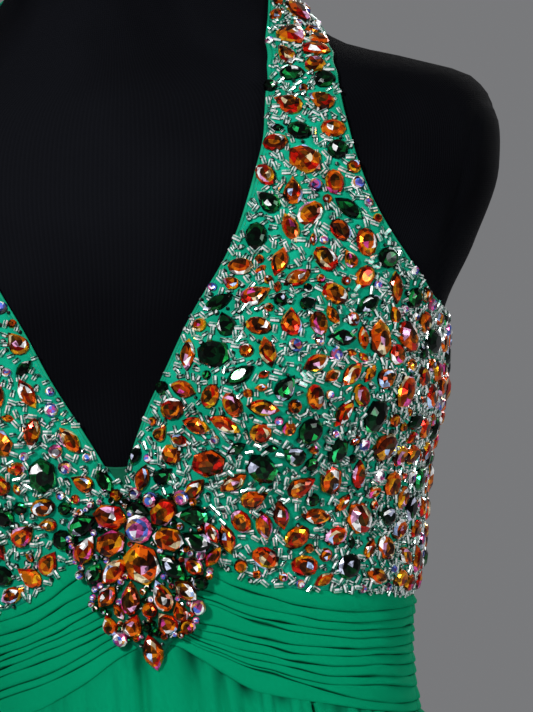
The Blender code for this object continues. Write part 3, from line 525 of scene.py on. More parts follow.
def inside_flat(line, points):
    """Which flat points lie within a closed flat line."""
    inside = np.zeros(len(points), bool)
    x, y = points[:, 0], points[:, 1]
    for (ax, ay), (bx, by) in zip(line, np.roll(line, -1, axis=0)):
        if ay != by:
            inside ^= ((ay > y) != (by > y)) & (x < (bx - ax) * (y - ay) / (by - ay) + ax)
    return inside


def inside_line(line, turn, z):
    """Which places on the body lie within a panel's outline."""
    line = np.array(line)
    return inside_flat(to_flat(line[:, 0], line[:, 1]), to_flat(turn, z))


def line_distance(line, points, closed=True):
    """Shortest distances from points to a line, on the flat or in space."""
    best = np.full(len(points), np.inf)
    for a, b in zip(line, np.roll(line, -1, axis=0) if closed else line[1:]):
        along = b - a
        share = np.clip((points - a) @ along / max(along @ along, 1e-12), 0, 1)
        best = np.minimum(best, np.linalg.norm(points - a - share[:, None] * along, axis=1))
    return best


print("inside the left front, one place in front and one behind",
      inside_line(whole_line(FRONT, 1), np.array([30.0, 170.0]), np.array([1.25, 1.25])))

# %% [markdown]
# Stones are scattered by a fair rule: a seeded draw of kind, place and tilt, kept only
# where it stays clear of the panel's edge and of the stones before it. The large ones
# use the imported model's own seeds and order, so every modelled stone covers its solid.
# Smaller stones then fill the spaces between them in a second and third round.

# %% Scatter stones over a panel
LARGE_KINDS = (
    # name,    length, width,  height, share
    ("cosmic", 0.0180, 0.0130, 0.0042, 5),
    ("navette", 0.0155, 0.0078, 0.0034, 4),
    ("pear", 0.0145, 0.0100, 0.0038, 4),
    ("oval", 0.0135, 0.0102, 0.0036, 3),
    ("round", 0.0125, 0.0125, 0.0038, 2),
)
MIDDLE_KINDS = (
    # name,    length, width,  height, share
    ("cosmic", 0.0165, 0.0120, 0.0040, 3),
    ("pear", 0.0148, 0.0102, 0.0038, 3),
    ("navette", 0.0170, 0.0086, 0.0034, 5),
    ("oval", 0.0132, 0.0098, 0.0036, 3),
    ("round", 0.0112, 0.0112, 0.0038, 2),
)
SMALL_KINDS = (
    # name,    length, width,  height, share
    ("navette", 0.0118, 0.0062, 0.0029, 4),
    ("pear", 0.0098, 0.0072, 0.0031, 3),
    ("round", 0.0074, 0.0074, 0.0033, 4),
)
TINY_KINDS = (
    # name,    length, width,  height, share
    ("round", 0.0050, 0.0050, 0.0026, 5),
    ("navette", 0.0070, 0.0040, 0.0024, 2),
)
STONE_GAP = 0.0034
STONE_MARGIN = 0.0040
LARGE_TRIES = 6000
APPLIQUE_SHIFT = 0.0055
APPLIQUE_WIDE = 0.0375
APPLIQUE_HIGH = 1.2220
APPLIQUE_MARGIN = 0.0040
ZIP_MARGIN = 0.012


def near_applique(turn, z, reach=LARGE_KINDS[0][1] / 2 + APPLIQUE_MARGIN):
    """The area around the centre applique, kept free of stones."""
    x = figure_point(turn, z)[..., 0]
    return in_front(turn) & (z < APPLIQUE_HIGH + reach) & (np.abs(x - APPLIQUE_SHIFT) < APPLIQUE_WIDE + reach)


APPLIQUE_EDGE = (
    # x,     z
    (0.0000, 1.2205),
    (0.0160, 1.2220),
    (0.0300, 1.2195),
    (0.0375, 1.2115),
    (0.0375, 1.1985),
    (0.0335, 1.1840),
    (0.0300, 1.1700),
    (0.0240, 1.1585),
    (0.0175, 1.1490),
    (0.0105, 1.1415),
    (0.0050, 1.1350),
    (0.0000, 1.1315),
)
BESIDE_APPLIQUE = 0.0032


def whole_edge(half):
    """The applique's closed outline from one half of it, set where the applique sits."""
    edge = [*reversed(half), *((-x, z) for x, z in half[1:-1])]
    return [(x + APPLIQUE_SHIFT, z) for x, z in edge]


def beside_applique(turn, z, margin=BESIDE_APPLIQUE):
    """The applique's own outline with a small margin, for the stones that crowd round it."""
    edge = np.array(whole_edge(APPLIQUE_EDGE))
    spot = np.stack([figure_point(turn, z)[..., 0], np.broadcast_to(z, np.shape(turn))], axis=-1)
    near = inside_flat(edge, spot) | (line_distance(edge, spot) < margin)
    return near & in_front(turn)


def near_zip(turn, z, reach=ZIP_MARGIN):
    """The strip beside the zip, kept free of stones."""
    return (np.abs(figure_point(turn, z)[..., 0]) < reach) & ~in_front(turn)


def place_points(turn, z, tilt, x, y):
    """Places on the body for points x along and y across tilted stones."""
    _, normal, by_turn, by_z = figure_frame(turn, z)
    along_turn = unit(by_turn)
    along_up = np.cross(normal, along_turn)
    c, s = np.cos(np.radians(tilt)), np.sin(np.radians(tilt))
    flat_x, flat_y = x * c - y * s, x * s + y * c
    up = flat_y / (by_z * along_up).sum(-1)
    across = (flat_x - up * (by_z * along_turn).sum(-1)) / np.linalg.norm(by_turn, axis=-1)
    return turn + across, z + up


def mirrored(tilt, sign):
    """A stone's tilt on the wearer's left, or its mirror on the right."""
    return tilt if sign > 0 else 180 - tilt


def given_stone(kind, x, z, length, width, height, tilt, family=None):
    """One stone given by its place, with the three points along its spine that others keep clear of."""
    turn = float(turn_at(x, z))
    reach = max(0.0, (length - width) / 2)
    spine = [over_figure(*place_points(np.array(turn), np.array(z), tilt, side * reach, 0.0), CLOTH_OUT)
             for side in (-1, 0, 1)]
    return {"kind": kind, "turn": turn, "z": z, "tilt": tilt, "length": length, "width": width,
            "height": height, "spine": spine, "family": family}


def draw_candidates(line, seed, kinds, tries):
    """Seeded draws of kind, turn, height and tilt over a panel's bounds."""
    rng = random.Random(seed)
    turns, heights = [p[0] for p in line], [p[1] for p in line]
    mix = [kind for kind in kinds for _ in range(kind[4])]
    drawn = []
    for _ in range(tries):
        name, length, width, height, _ = rng.choice(mix)
        turn = rng.uniform(min(turns), max(turns))
        z = rng.uniform(min(heights), max(heights))
        drawn.append((name, length, width, height, turn, z, rng.uniform(0, 180)))
    return drawn


def scatter_stones(line, seed, clear, others, kinds, wanted, gap, margin, tries):
    """Stones over a panel, clear of the other stones; a margin or gap below zero lets them overlap."""
    drawn = draw_candidates(line, seed, kinds, tries)
    length, width, turn, z, tilt = (np.array([d[k] for d in drawn]) for k in (1, 2, 4, 5, 6))
    fits = inside_line(line, turn, z) & ~clear(turn, z)
    reach = np.maximum(0.0, (length - width) / 2)
    spines = np.stack([over_figure(*place_points(turn, z, tilt, sign * reach, 0.0), CLOTH_OUT)
                       for sign in (-1, 0, 1)], axis=1)
    loop = over_figure([p[0] for p in line], [p[1] for p in line], CLOTH_OUT)
    from_edge = np.min([line_distance(loop, spines[:, k]) for k in range(3)], axis=0)
    fits &= from_edge >= width / 2 + margin
    stones, taken, half = [], [], []
    for other in others:
        taken += list(other["spine"])
        half += [other["width"] / 2] * 3
    for k in np.flatnonzero(fits):
        if len(stones) == wanted:
            break
        if taken:
            apart = np.linalg.norm(np.array(taken)[:, None] - spines[k], axis=-1)
            if np.any(apart <= (np.array(half) + width[k] / 2 + gap)[:, None]):
                continue
        name, _, _, height, *_ = drawn[k]
        stones.append({"kind": name, "turn": turn[k], "z": z[k], "tilt": tilt[k], "length": length[k],
                       "width": width[k], "height": height, "spine": spines[k]})
        taken += list(spines[k])
        half += [width[k] / 2] * 3
    return stones


PANELS = (
    # name,               parts, cloth,       sign, stones, seed, kept clear,    kept clear of the rest
    ("bodice_front_left", FRONT, FRONT_CLOTH[1], 1, 54, 11, near_applique, beside_applique),
    ("bodice_front_right", FRONT, FRONT_CLOTH[-1], -1, 54, 16, near_applique, beside_applique),
    ("bodice_back_left", BACK, BACK_CLOTH, 1, 28, 23, near_zip, near_zip),
    ("bodice_back_right", BACK, BACK_CLOTH, -1, 28, 28, near_zip, near_zip),
)
FILL_ROUNDS = (
    # kinds, most stones, gap, margin to the edge, tries
    (MIDDLE_KINDS, 80, 0.0007, -0.0004, 7000),
    (SMALL_KINDS, 80, 0.0006, -0.0009, 5000),
    (TINY_KINDS, 60, 0.0006, -0.0008, 2500),
)
STRAP_ROUND = (MIDDLE_KINDS, 24, 0.0006, -0.0006, 9000)
FILL_SEAM = -0.0002
WIDE_FRONT = {sign: front_outline(FILL_SEAM, moves) for sign, moves in NECK_MOVES.items()}
WIDE_BACK = back_outline(FILL_SEAM)
V_STONES = (
    # kind,    x,      z,      length, width,  height, tilt
    ("navette", 0.0100, 1.2310, 0.0155, 0.0078, 0.0034, 66),
    ("pear", 0.0218, 1.2315, 0.0125, 0.0088, 0.0036, 34),
    ("round", 0.0050, 1.2235, 0.0068, 0.0068, 0.0034, 0),
)
LARGE_GROW = 1.10
STRAP_LOW = 1.345


def below_strap(turn, z):
    """Everything under the strap, where its own last round sets no stones."""
    return z < STRAP_LOW


panel_stones = {}
for name, parts, _, sign, wanted, seed, clear, clear_rest in PANELS:
    found = scatter_stones(whole_line(parts, sign), seed, clear, (), LARGE_KINDS, wanted, STONE_GAP,
                           STONE_MARGIN, LARGE_TRIES)
    for stone in found:
        stone["length"] *= LARGE_GROW
        stone["width"] *= LARGE_GROW
    wider = whole_line(WIDE_FRONT[sign] if parts is FRONT else WIDE_BACK, sign)
    if parts is FRONT:
        for kind, x, z, length, width, height, tilt in V_STONES:
            found.append(given_stone(kind, sign * x, z, length, width, height, mirrored(tilt, sign)))
        found += scatter_stones(wider, seed + 50, below_strap, found, *STRAP_ROUND)
    counts = [len(found)]
    for k, fill_round in enumerate(FILL_ROUNDS):
        found += scatter_stones(wider, seed + 100 * (k + 1), clear_rest, found, *fill_round)
        counts.append(len(found) - sum(counts))
    panel_stones[name] = found
    print(name, "stones from large to tiny", counts)
PANEL_SEEDS = {row[0]: row[5] for row in PANELS}

# %% [markdown]
# All pieces are made from arrays of points, and the same few helpers turn those into
# Blender meshes. A level grid covers sleeves, bands and tubes, and a triangulated panel
# covers any outline. The UV map holds real metres across the cloth, so one weave setting
# has the same thread size on every piece.

# %% Helpers for meshes
TRIANGLE_ROW = 0.87
RIM_CLEAR = 0.45


def add_mesh(name, points, faces, material, uv=None, corner_uv=None, smooth=True):
    """One object from arrays, with a UV in metres for each point or each corner."""
    mesh = bpy.data.meshes.new(name)
    mesh.from_pydata(np.asarray(points, float).tolist(), [], [list(map(int, f)) for f in faces])
    if uv is not None:
        corners = np.empty(len(mesh.loops), np.int32)
        mesh.loops.foreach_get("vertex_index", corners)
        corner_uv = np.asarray(uv, np.float32)[corners]
    if corner_uv is not None:
        mesh.uv_layers.new(name="cloth").data.foreach_set("uv", np.asarray(corner_uv, np.float32).ravel())
    if smooth:
        mesh.shade_smooth()
    mesh.materials.append(material)
    mesh.update()
    return new_object(name, mesh)


def store(item, label, values, kind="FLOAT", domain="POINT"):
    """Values kept on a piece's points or faces, for its finish and its node trees to read."""
    field = {"FLOAT": "value", "FLOAT_COLOR": "color", "FLOAT_VECTOR": "vector"}[kind]
    layer = item.data.attributes.new(label, kind, domain)
    layer.data.foreach_set(field, np.asarray(values, np.float32).ravel())


def close_ends(item):
    """A tube with its open ends filled and all its faces turned outwards."""
    shape = bmesh.new()
    shape.from_mesh(item.data)
    bmesh.ops.holes_fill(shape, edges=[edge for edge in shape.edges if edge.is_boundary], sides=0)
    bmesh.ops.recalc_face_normals(shape, faces=shape.faces)
    shape.to_mesh(item.data)
    shape.free()


def grid_faces(rows, cols, closed=False):
    """Quads of a grid whose columns run anticlockwise and whose rows run up."""
    c = np.arange(cols if closed else cols - 1)
    r = np.arange(rows - 1)[:, None]
    n = (c + 1) % cols
    return np.stack([r * cols + c, r * cols + n, (r + 1) * cols + n, (r + 1) * cols + c], -1).reshape(-1, 4)


def tube_faces(rings, sides):
    """Faces of a closed tube along x: its sides ring by ring, then its two ends."""
    ends = [range(sides)[::-1], range((rings - 1) * sides, rings * sides)]
    return [face[::-1] for face in (*grid_faces(rings, sides, closed=True).tolist(), *map(list, ends))]


def grid_object(name, points, uv, material, closed=False, period=0.0, flip=False):
    """A grid of points as a smooth surface; a closed one wraps round with its UV carried on."""
    rows, cols = points.shape[:2]
    faces = grid_faces(rows, cols, closed)
    corner_uv = uv.reshape(-1, 2)[faces]
    if closed:
        wraps = faces % cols == 0
        last = (faces % cols == cols - 1).any(axis=1)[:, None]
        corner_uv[..., 0] += np.where(wraps & last, period, 0.0)
    if flip:
        faces, corner_uv = faces[:, ::-1], corner_uv[:, ::-1]
    return add_mesh(name, points.reshape(-1, 3), faces, material, corner_uv=corner_uv.reshape(-1, 2))


def cloth_uv(turn, z):
    """Metres across and up the cloth."""
    return np.stack(np.broadcast_arrays(np.radians(turn) * GIRTH_R, z), axis=-1)


def thicken(item, thickness):
    """A thin wall grown inwards, away from what shows."""
    wall = item.modifiers.new("wall", "SOLIDIFY")
    wall.thickness = thickness
    wall.offset = -1.0
    return item


def on_body(item, replaced=()):
    """The piece rides on the dress and hides the imported solids it stands for."""
    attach(item, BODY)
    if replaced:
        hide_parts(*replaced)
    return item


def panel_mesh(line, step):
    """Triangles over an outline: its own points, then even points inside it."""
    line = np.array(line)
    flat_line = to_flat(line[:, 0], line[:, 1])
    low, high = flat_line.min(0), flat_line.max(0)
    step_mm = step * 1000
    ys = np.arange(low[1] + step_mm / 2, high[1], step_mm * TRIANGLE_ROW)
    grid = np.array([(x + (step_mm / 2 if k % 2 else 0.0), y) for k, y in enumerate(ys)
                     for x in np.arange(low[0], high[0], step_mm)])
    grid = grid[inside_flat(flat_line, grid)]
    from_edge = line_distance(flat_line, grid)
    clear = from_edge > step_mm * RIM_CLEAR
    grid, from_edge = grid[clear], from_edge[clear]
    flat = np.concatenate([flat_line, grid])
    found = delaunay_2d_cdt([Vector(p) for p in flat], [], [list(range(len(line)))], 1, 1e-6, True)
    faces = np.array([[found[3][i][0] for i in face] for face in found[2]])
    keep = inside_flat(flat_line, flat[faces].mean(axis=1))
    return *from_flat(flat / 1000), faces[keep], np.concatenate([np.zeros(len(line)), from_edge / 1000])


def finer(line, step):
    """A closed outline with points about one step apart, rounded through its corners."""
    return resample(list(line) + [line[0]], step)[:-1]


print("a back panel at three millimetres has",
      len(panel_mesh(finer(whole_line(BACK, 1), 0.003), 0.003)[2]), "triangles")

# %% [markdown]
# Materials are node trees. A short helper adds one node, links what is a socket and sets
# what is a value, so a tree reads as a list of steps. Effects that several finishes share
# are groups: a weave for all chiffon and satin, a rib for the form's jersey, and a soft
# unevenness of tone, because dyed cloth is never one flat colour; the same group paints
# shade into the valleys between threads and ribs.

# %% Helpers for node trees
def feed(tree, target, values):
    """Gives a node its inputs, by name or number: a socket is linked, a value is set."""
    for key, value in values.items():
        if isinstance(value, bpy.types.NodeSocket):
            tree.links.new(value, target.inputs[key])
        else:
            target.inputs[key].default_value = value


def node(tree, kind, values=None, **settings):
    """One node with its settings and inputs."""
    made = tree.nodes.new(kind)
    for key, value in settings.items():
        setattr(made, key, value)
    feed(tree, made, values or {})
    return made


def maths(tree, operation, a, b=0.0, c=0.0, clamp=False):
    """The result of one sum."""
    return node(tree, "ShaderNodeMath", {0: a, 1: b, 2: c}, operation=operation, use_clamp=clamp).outputs[0]


def noise(tree, places, scale, detail):
    """A soft random value that changes over the places."""
    made = node(tree, "ShaderNodeTexNoise", {"Vector": places, "Scale": scale, "Detail": detail})
    return made.outputs["Fac"]


def ranged(tree, value, start, end):
    """A value carried from one range (low, high) to another."""
    made = node(tree, "ShaderNodeMapRange", {"Value": value, "From Min": start[0], "From Max": start[1],
                                             "To Min": end[0], "To Max": end[1]})
    return made.outputs[0]


def blend(tree, share, first, second):
    """A colour between two colours."""
    return node(tree, "ShaderNodeMix", {0: share, 6: first, 7: second}, data_type="RGBA").outputs[2]


def new_tree(name, kind, inputs, outputs):
    """A node group with named sockets; returns its tree, its given sockets and its output node."""
    tree = bpy.data.node_groups.new(name, kind)
    for label, carries, *value in inputs:
        socket = tree.interface.new_socket(label, in_out="INPUT", socket_type="NodeSocket" + carries)
        if value:
            socket.default_value = value[0]
    for label, carries in outputs:
        tree.interface.new_socket(label, in_out="OUTPUT", socket_type="NodeSocket" + carries)
    return tree, tree.nodes.new("NodeGroupInput").outputs, tree.nodes.new("NodeGroupOutput")


def weave_group():
    """Crossing threads: a height for bump and a mask of the valleys between threads."""
    tree, given, out = new_tree(
        "weave", "ShaderNodeTree",
        [("Vector", "Vector"), ("Threads", "Float", 1400.0), ("Crepe", "Float", 0.5)],
        [("Height", "Float"), ("Valleys", "Float")])
    slub = maths(tree, "MULTIPLY", noise(tree, given["Vector"], 260.0, 2.0), 3.0)
    places = node(tree, "ShaderNodeSeparateXYZ", {0: given["Vector"]})
    waves = []
    for axis in ("X", "Y"):
        turns = maths(tree, "MULTIPLY", places.outputs[axis], given["Threads"])
        uneven = maths(tree, "ADD", turns, slub)
        waves.append(maths(tree, "SINE", maths(tree, "MULTIPLY", uneven, 2 * math.pi)))
    threads = maths(tree, "MULTIPLY", *waves)
    rough = maths(tree, "MULTIPLY", noise(tree, given["Vector"], 1500.0, 1.0), given["Crepe"])
    feed(tree, out, {"Height": maths(tree, "ADD", threads, rough),
                     "Valleys": maths(tree, "MULTIPLY_ADD", threads, -0.5, 0.5)})
    return tree


def tone_and_valley_shade_group():
    """A colour that drifts between a light and a deep tone, with painted shade in the thread valleys."""
    tree, given, out = new_tree(
        "uneven_tone_and_valley_shade", "ShaderNodeTree",
        [("Vector", "Vector"), ("Light", "Color", (0.5, 0.5, 0.5, 1)), ("Deep", "Color", (0.4, 0.4, 0.4, 1)),
         ("Patch size", "Float", 12.0), ("Valleys", "Float", 0.0)],
        [("Color", "Color")])
    drift = ranged(tree, noise(tree, given["Vector"], given["Patch size"], 3.0), (0.35, 0.65), (0.0, 1.0))
    # Painted shade: the valleys between threads or ribs are pulled towards the deep tone.
    mixed = maths(tree, "MULTIPLY_ADD", given["Valleys"], 0.25, drift, clamp=True)
    feed(tree, out, {"Color": blend(tree, mixed, given["Light"], given["Deep"])})
    return tree


def rib_group():
    """Fine upright ribs of a knit, with its stitches as a smaller ripple."""
    tree, given, out = new_tree(
        "knit_rib", "ShaderNodeTree",
        [("Vector", "Vector"), ("Ribs", "Float", 620.0), ("Courses", "Float", 900.0)],
        [("Height", "Float"), ("Valleys", "Float")])
    places = node(tree, "ShaderNodeSeparateXYZ", {0: given["Vector"]})
    across = maths(tree, "MULTIPLY", maths(tree, "MULTIPLY", places.outputs["X"], given["Ribs"]), 2 * math.pi)
    courses = maths(tree, "MULTIPLY", places.outputs["Y"], given["Courses"])
    upward = maths(tree, "MULTIPLY", courses, 2 * math.pi)
    rib = maths(tree, "SINE", across)
    stitch = maths(tree, "SINE", maths(tree, "ADD", upward, maths(tree, "MULTIPLY", rib, 1.5)))
    feed(tree, out, {"Height": maths(tree, "ADD", rib, maths(tree, "MULTIPLY", stitch, 0.35)),
                     "Valleys": maths(tree, "MULTIPLY_ADD", rib, -0.5, 0.5)})
    return tree


def wear_group():
    """Fine scuffs and settled dust for the stand's hard surfaces."""
    tree, given, out = new_tree(
        "stand_wear", "ShaderNodeTree",
        [("Vector", "Vector"), ("Clean", "Color", (0.02, 0.02, 0.02, 1)),
         ("Dust", "Color", (0.2, 0.19, 0.18, 1)), ("Amount", "Float", 0.15)],
        [("Color", "Color"), ("Roughness", "Float")])
    scuffs = ranged(tree, noise(tree, given["Vector"], 90.0, 5.0), (0.52, 0.72), (0.0, 1.0))
    amount = maths(tree, "MULTIPLY", scuffs, given["Amount"])
    feed(tree, out, {"Color": blend(tree, amount, given["Clean"], given["Dust"]),
                     "Roughness": maths(tree, "MULTIPLY_ADD", amount, 0.8, 0.35)})
    return tree


GROUPS = {"weave": weave_group(), "tone_and_shade": tone_and_valley_shade_group(), "rib": rib_group(), "wear": wear_group()}
print("shared effects:", ", ".join(GROUPS))


# %% Finishes of the cloth and the stand
# Colour of the painted shade deep in folds, pleat grooves and pockets under the seam.
FOLD_SHADE = (0.000, 0.012, 0.006, 1)
JERSEY_RELIEF = 0.00012
MIRROR_SCALE = 430.0
MIRROR_BRIGHT = (0.16, 1.80)
PALE_MIRROR = 0.36
SMEAR_SCALE = 400.0
SMEAR_ROUGHNESS = (0.04, 0.16)


def new_material(name, constants):
    """A material with its Principled shader's constant values set on the shader."""
    material = bpy.data.materials.new(name)
    material.use_nodes = True
    tree = material.node_tree
    shader = tree.nodes["Principled BSDF"]
    feed(tree, shader, constants)
    return material, tree, shader


def group_node(tree, name, values):
    """One shared effect placed in a material."""
    return node(tree, "ShaderNodeGroup", values, node_tree=GROUPS[name]).outputs


def attribute(tree, name, output="Fac"):
    """What a piece keeps under this name."""
    return node(tree, "ShaderNodeAttribute", attribute_name=name).outputs[output]


def bump(tree, height, distance):
    """A normal from a height in metres of relief."""
    return node(tree, "ShaderNodeBump", {"Height": height, "Distance": distance}).outputs["Normal"]


def cloth_material(name, light, deep, threads, relief, constants, patch=12.0):
    """Dyed woven cloth: uneven tone, painted shade in the thread valleys, a weave in relief and painted shade
    deep in folds.
    """
    material, tree, shader = new_material(name, constants)
    places = node(tree, "ShaderNodeUVMap", uv_map="cloth").outputs["UV"]
    weave = group_node(tree, "weave", {"Vector": places, "Threads": threads})
    tone_and_shade = group_node(tree, "tone_and_shade", {"Vector": places, "Light": (*light, 1), "Deep": (*deep, 1),
                                     "Patch size": patch, "Valleys": weave["Valleys"]})
    # Painted shade: where a piece marks deep folds, its colour is blended towards the fold shade.
    feed(tree, shader, {"Base Color": blend(tree, attribute(tree, "painted_fold_shade"), tone_and_shade["Color"], FOLD_SHADE),
                        "Normal": bump(tree, weave["Height"], relief)})
    return material


def jersey_material():
    """Black rib jersey stretched over the form."""
    material, tree, shader = new_material("black_jersey_rib", {
        "Roughness": 0.92, "Specular IOR Level": 0.03})
    places = node(tree, "ShaderNodeUVMap", uv_map="cloth").outputs["UV"]
    rib = group_node(tree, "rib", {"Vector": places})
    # Painted shade in the rib valleys comes through the tone group.
    tone_and_shade = group_node(tree, "tone_and_shade", {"Vector": places, "Light": (0.0042, 0.0046, 0.0064, 1),
                                     "Deep": (0.0014, 0.0015, 0.0023, 1), "Patch size": 6.0,
                                     "Valleys": rib["Valleys"]})
    feed(tree, shader, {"Base Color": tone_and_shade["Color"], "Normal": bump(tree, rib["Height"], JERSEY_RELIEF)})
    return material


def stand_material(name, clean, dust, amount, constants):
    """Painted or polished metal with fine scuffs and a little dust."""
    material, tree, shader = new_material(name, constants)
    places = node(tree, "ShaderNodeTexCoord").outputs["Object"]
    wear = group_node(tree, "wear", {"Vector": places, "Clean": (*clean, 1), "Dust": (*dust, 1),
                                     "Amount": amount})
    feed(tree, shader, {"Base Color": wear["Color"], "Roughness": wear["Roughness"]})
    return material


def facet_material(name, constants):
    """Cut glass: each facet carries its own colour with painted reflection, broken up into painted patches
    for the mirrors inside the stone.
    """
    material, tree, shader = new_material(name, constants)
    colour = attribute(tree, "facet", "Color")
    places = node(tree, "ShaderNodeTexCoord").outputs["Object"]
    # Painted reflection: a cell pattern makes each facet brighter and darker in patches.
    mirrors = node(tree, "ShaderNodeTexVoronoi", {"Vector": places, "Scale": MIRROR_SCALE})
    apart = node(tree, "ShaderNodeSeparateColor", {0: mirrors.outputs["Color"]})
    bright = ranged(tree, apart.outputs[0], (0.0, 1.0), MIRROR_BRIGHT)
    inner = node(tree, "ShaderNodeVectorMath", {0: colour, "Scale": bright}, operation="SCALE")
    # Facets with much blue, most of all the white painted glints, are made less metallic so they show
    # brighter.
    blue = node(tree, "ShaderNodeSeparateColor", {0: colour}).outputs[2]
    smear = noise(tree, places, SMEAR_SCALE, 2.0)
    feed(tree, shader, {"Base Color": inner.outputs[0],
                        "Metallic": ranged(tree, blue, (0.3, 1.0), (constants["Metallic"], PALE_MIRROR)),
                        "Roughness": ranged(tree, smear, (0.0, 1.0), SMEAR_ROUGHNESS)})
    return material


CHIFFON = cloth_material("emerald_chiffon", (0.000, 0.285, 0.130), (0.000, 0.255, 0.114), 1300.0, 0.00008,
                         {"Roughness": 0.85, "Specular IOR Level": 0.03})
GROUND = cloth_material("bodice_ground_cloth", (0.003, 0.410, 0.250), (0.000, 0.280, 0.160), 1300.0, 0.00008,
                        {"Roughness": 0.70, "Specular IOR Level": 0.08}, patch=40.0)
BINDING = cloth_material("rolled_binding", (0.001, 0.330, 0.180), (0.000, 0.240, 0.125), 1300.0, 0.00006,
                         {"Roughness": 0.60, "Specular IOR Level": 0.15}, patch=60.0)
# The applique's backing is coloured dark green as painted shade between its crowded stones.
PAD_CLOTH_PAINTED_SHADE = cloth_material("applique_backing_painted_shade", (0.000, 0.150, 0.082), (0.000, 0.070, 0.036), 1300.0, 0.00008,
                           {"Roughness": 0.80, "Specular IOR Level": 0.08}, patch=80.0)
# The inset's satin is coloured deeper as painted shade, since it lies back in the V.
INSET_SATIN_PAINTED_SHADE = cloth_material("inset_satin_painted_shade", (0.000, 0.105, 0.052), (0.000, 0.070, 0.034), 1800.0, 0.00004,
                        {"Roughness": 0.60, "Specular IOR Level": 0.12})
SATIN = cloth_material("emerald_satin", (0.001, 0.290, 0.150), (0.000, 0.210, 0.105), 1800.0, 0.00004,
                       {"Roughness": 0.42, "Sheen Weight": 0.10, "Sheen Roughness": 0.3,
                        "Specular IOR Level": 0.45})
JERSEY = jersey_material()
BLACK_PAINT = stand_material("black_painted_steel", (0.014, 0.014, 0.015), (0.16, 0.155, 0.15), 0.10,
                             {"Metallic": 0.4, "Coat Weight": 0.3, "Coat Roughness": 0.25})
BRIGHT_TUBE = stand_material("bright_steel_tube", (0.62, 0.62, 0.64), (0.35, 0.34, 0.33), 0.25,
                             {"Metallic": 1.0})
BLACK_CAP = stand_material("black_neck_cap", (0.010, 0.010, 0.011), (0.10, 0.10, 0.10), 0.10,
                           {"Coat Weight": 0.4, "Coat Roughness": 0.2})
GEM = facet_material("cut_glass_stone", {"Metallic": 0.75, "Coat Weight": 0.10, "Coat Roughness": 0.02,
                                         "Specular IOR Level": 0.4})
print("finishes:", len(bpy.data.materials))

# %% [markdown]
# The form comes next, because all cloth lies on it. It is a padded torso in stretched
# black jersey, without limbs, and its shoulders end in smooth arm plates. A fine grid
# over the figure's own sections gives a smooth outline; the ribs of the jersey run up
# and down and are bump, since one rib is narrower than a pixel. Pole, collar, cap and
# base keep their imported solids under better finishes.

# %% The jersey torso
TORSO_ROWS, TORSO_COLUMNS = 150, 160
FORM_SINK = 0.0006
ARM_PLATE = {"y": 0.004, "z": 1.352, "half_y": 0.040, "half_z": 0.058, "groove": 0.0016, "wide": 0.0022,
             "side": 0.7}


def torso_lift(turn, z):
    """The torso's surface below the figure, with the round groove of each arm plate."""
    point = figure_point(turn, z)
    ring = np.sqrt(((point[..., 1] - ARM_PLATE["y"]) / ARM_PLATE["half_y"]) ** 2
                   + ((z - ARM_PLATE["z"]) / ARM_PLATE["half_z"]) ** 2)
    at_side = np.abs(np.sin(np.radians(turn))) > ARM_PLATE["side"]
    groove = ARM_PLATE["groove"] * bell((ring - 1) * ARM_PLATE["half_y"], ARM_PLATE["wide"])
    return -FORM_SINK - groove * at_side


def build_torso():
    """One closed surface from the lower rim to the neck."""
    z = np.linspace(TORSO_BOTTOM_Z, NECK_TOP_Z, TORSO_ROWS)[:, None]
    turn = np.linspace(-180, 180, TORSO_COLUMNS, endpoint=False)[None, :]
    turn, z = np.broadcast_arrays(turn, z)
    points = over_figure(turn, z, torso_lift(turn, z))
    item = grid_object("jersey_torso", points, cloth_uv(turn, z), JERSEY, closed=True,
                       period=2 * math.pi * GIRTH_R)
    close_ends(item)
    return on_body(item, ["form_torso"])


def refinish(name, finish):
    """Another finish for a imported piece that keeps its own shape."""
    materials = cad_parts[name].data.materials
    materials.clear()
    materials.append(finish)


torso = build_torso()
for name, finish in (("form_pole", BRIGHT_TUBE), ("form_collar", BLACK_PAINT), ("form_base", BLACK_PAINT),
                     ("form_neck_cap", BLACK_CAP)):
    refinish(name, finish)
print("torso points", len(torso.data.vertices))

# %% [markdown]
# The bodice panels are flat pieces of chiffon over a firm lining. Each is triangulated
# inside its own cutting line at three millimetres, so it can pucker a little around the
# sewn stones, and gets a thin wall. Along the neck, strap and armhole the cloth is turned
# over a cord's width and stitched; that plain rolled edge frames all the glitter.

# %% The bodice cloth
CLOTH_LIFT = 0.0022
CLOTH_WALL = 0.0009
BODICE_STEP = 0.0032
BEADS_TO_SEAM = 0.0020
TURNED_EDGES = ("armhole", "neck", "top")
ZIP_STRIP = 0.0042
PUCKER = 0.00025
PUCKER_FADE = 0.006
STRAP_CROWD = 0.45
CROWD_FROM, CROWD_OVER = 44, 22
CROWD_TOP, CROWD_SOFT = 1.40, 0.05
STRAP_FROM, STRAP_SOFT = 1.35, 0.03


def pucker(turn, z, seed):
    """Slow unevenness of cloth that is pulled by its stitches."""
    a = np.sin(turn * 1.9 + seed) * np.sin(z * 420 + seed * 2.0)
    b = np.sin(turn * 0.83 + z * 260 + seed)
    return PUCKER * (0.6 * a + 0.4 * b)


def from_open_edges(parts, sign, turn, z):
    """Distances to the panel's edges; a seam counts as a little further off, so beads reach it."""
    flat = to_flat(turn, z) / 1000
    best = np.full(len(flat), 1.0)
    for name, part in parts.items():
        line = np.array(part)
        ends = to_flat(sign * line[:, 0], line[:, 1]) / 1000
        if len(ends) > 1:
            away = line_distance(ends, flat, closed=False)
            best = np.minimum(best, away if name in TURNED_EDGES else away + BEADS_TO_SEAM)
    return best


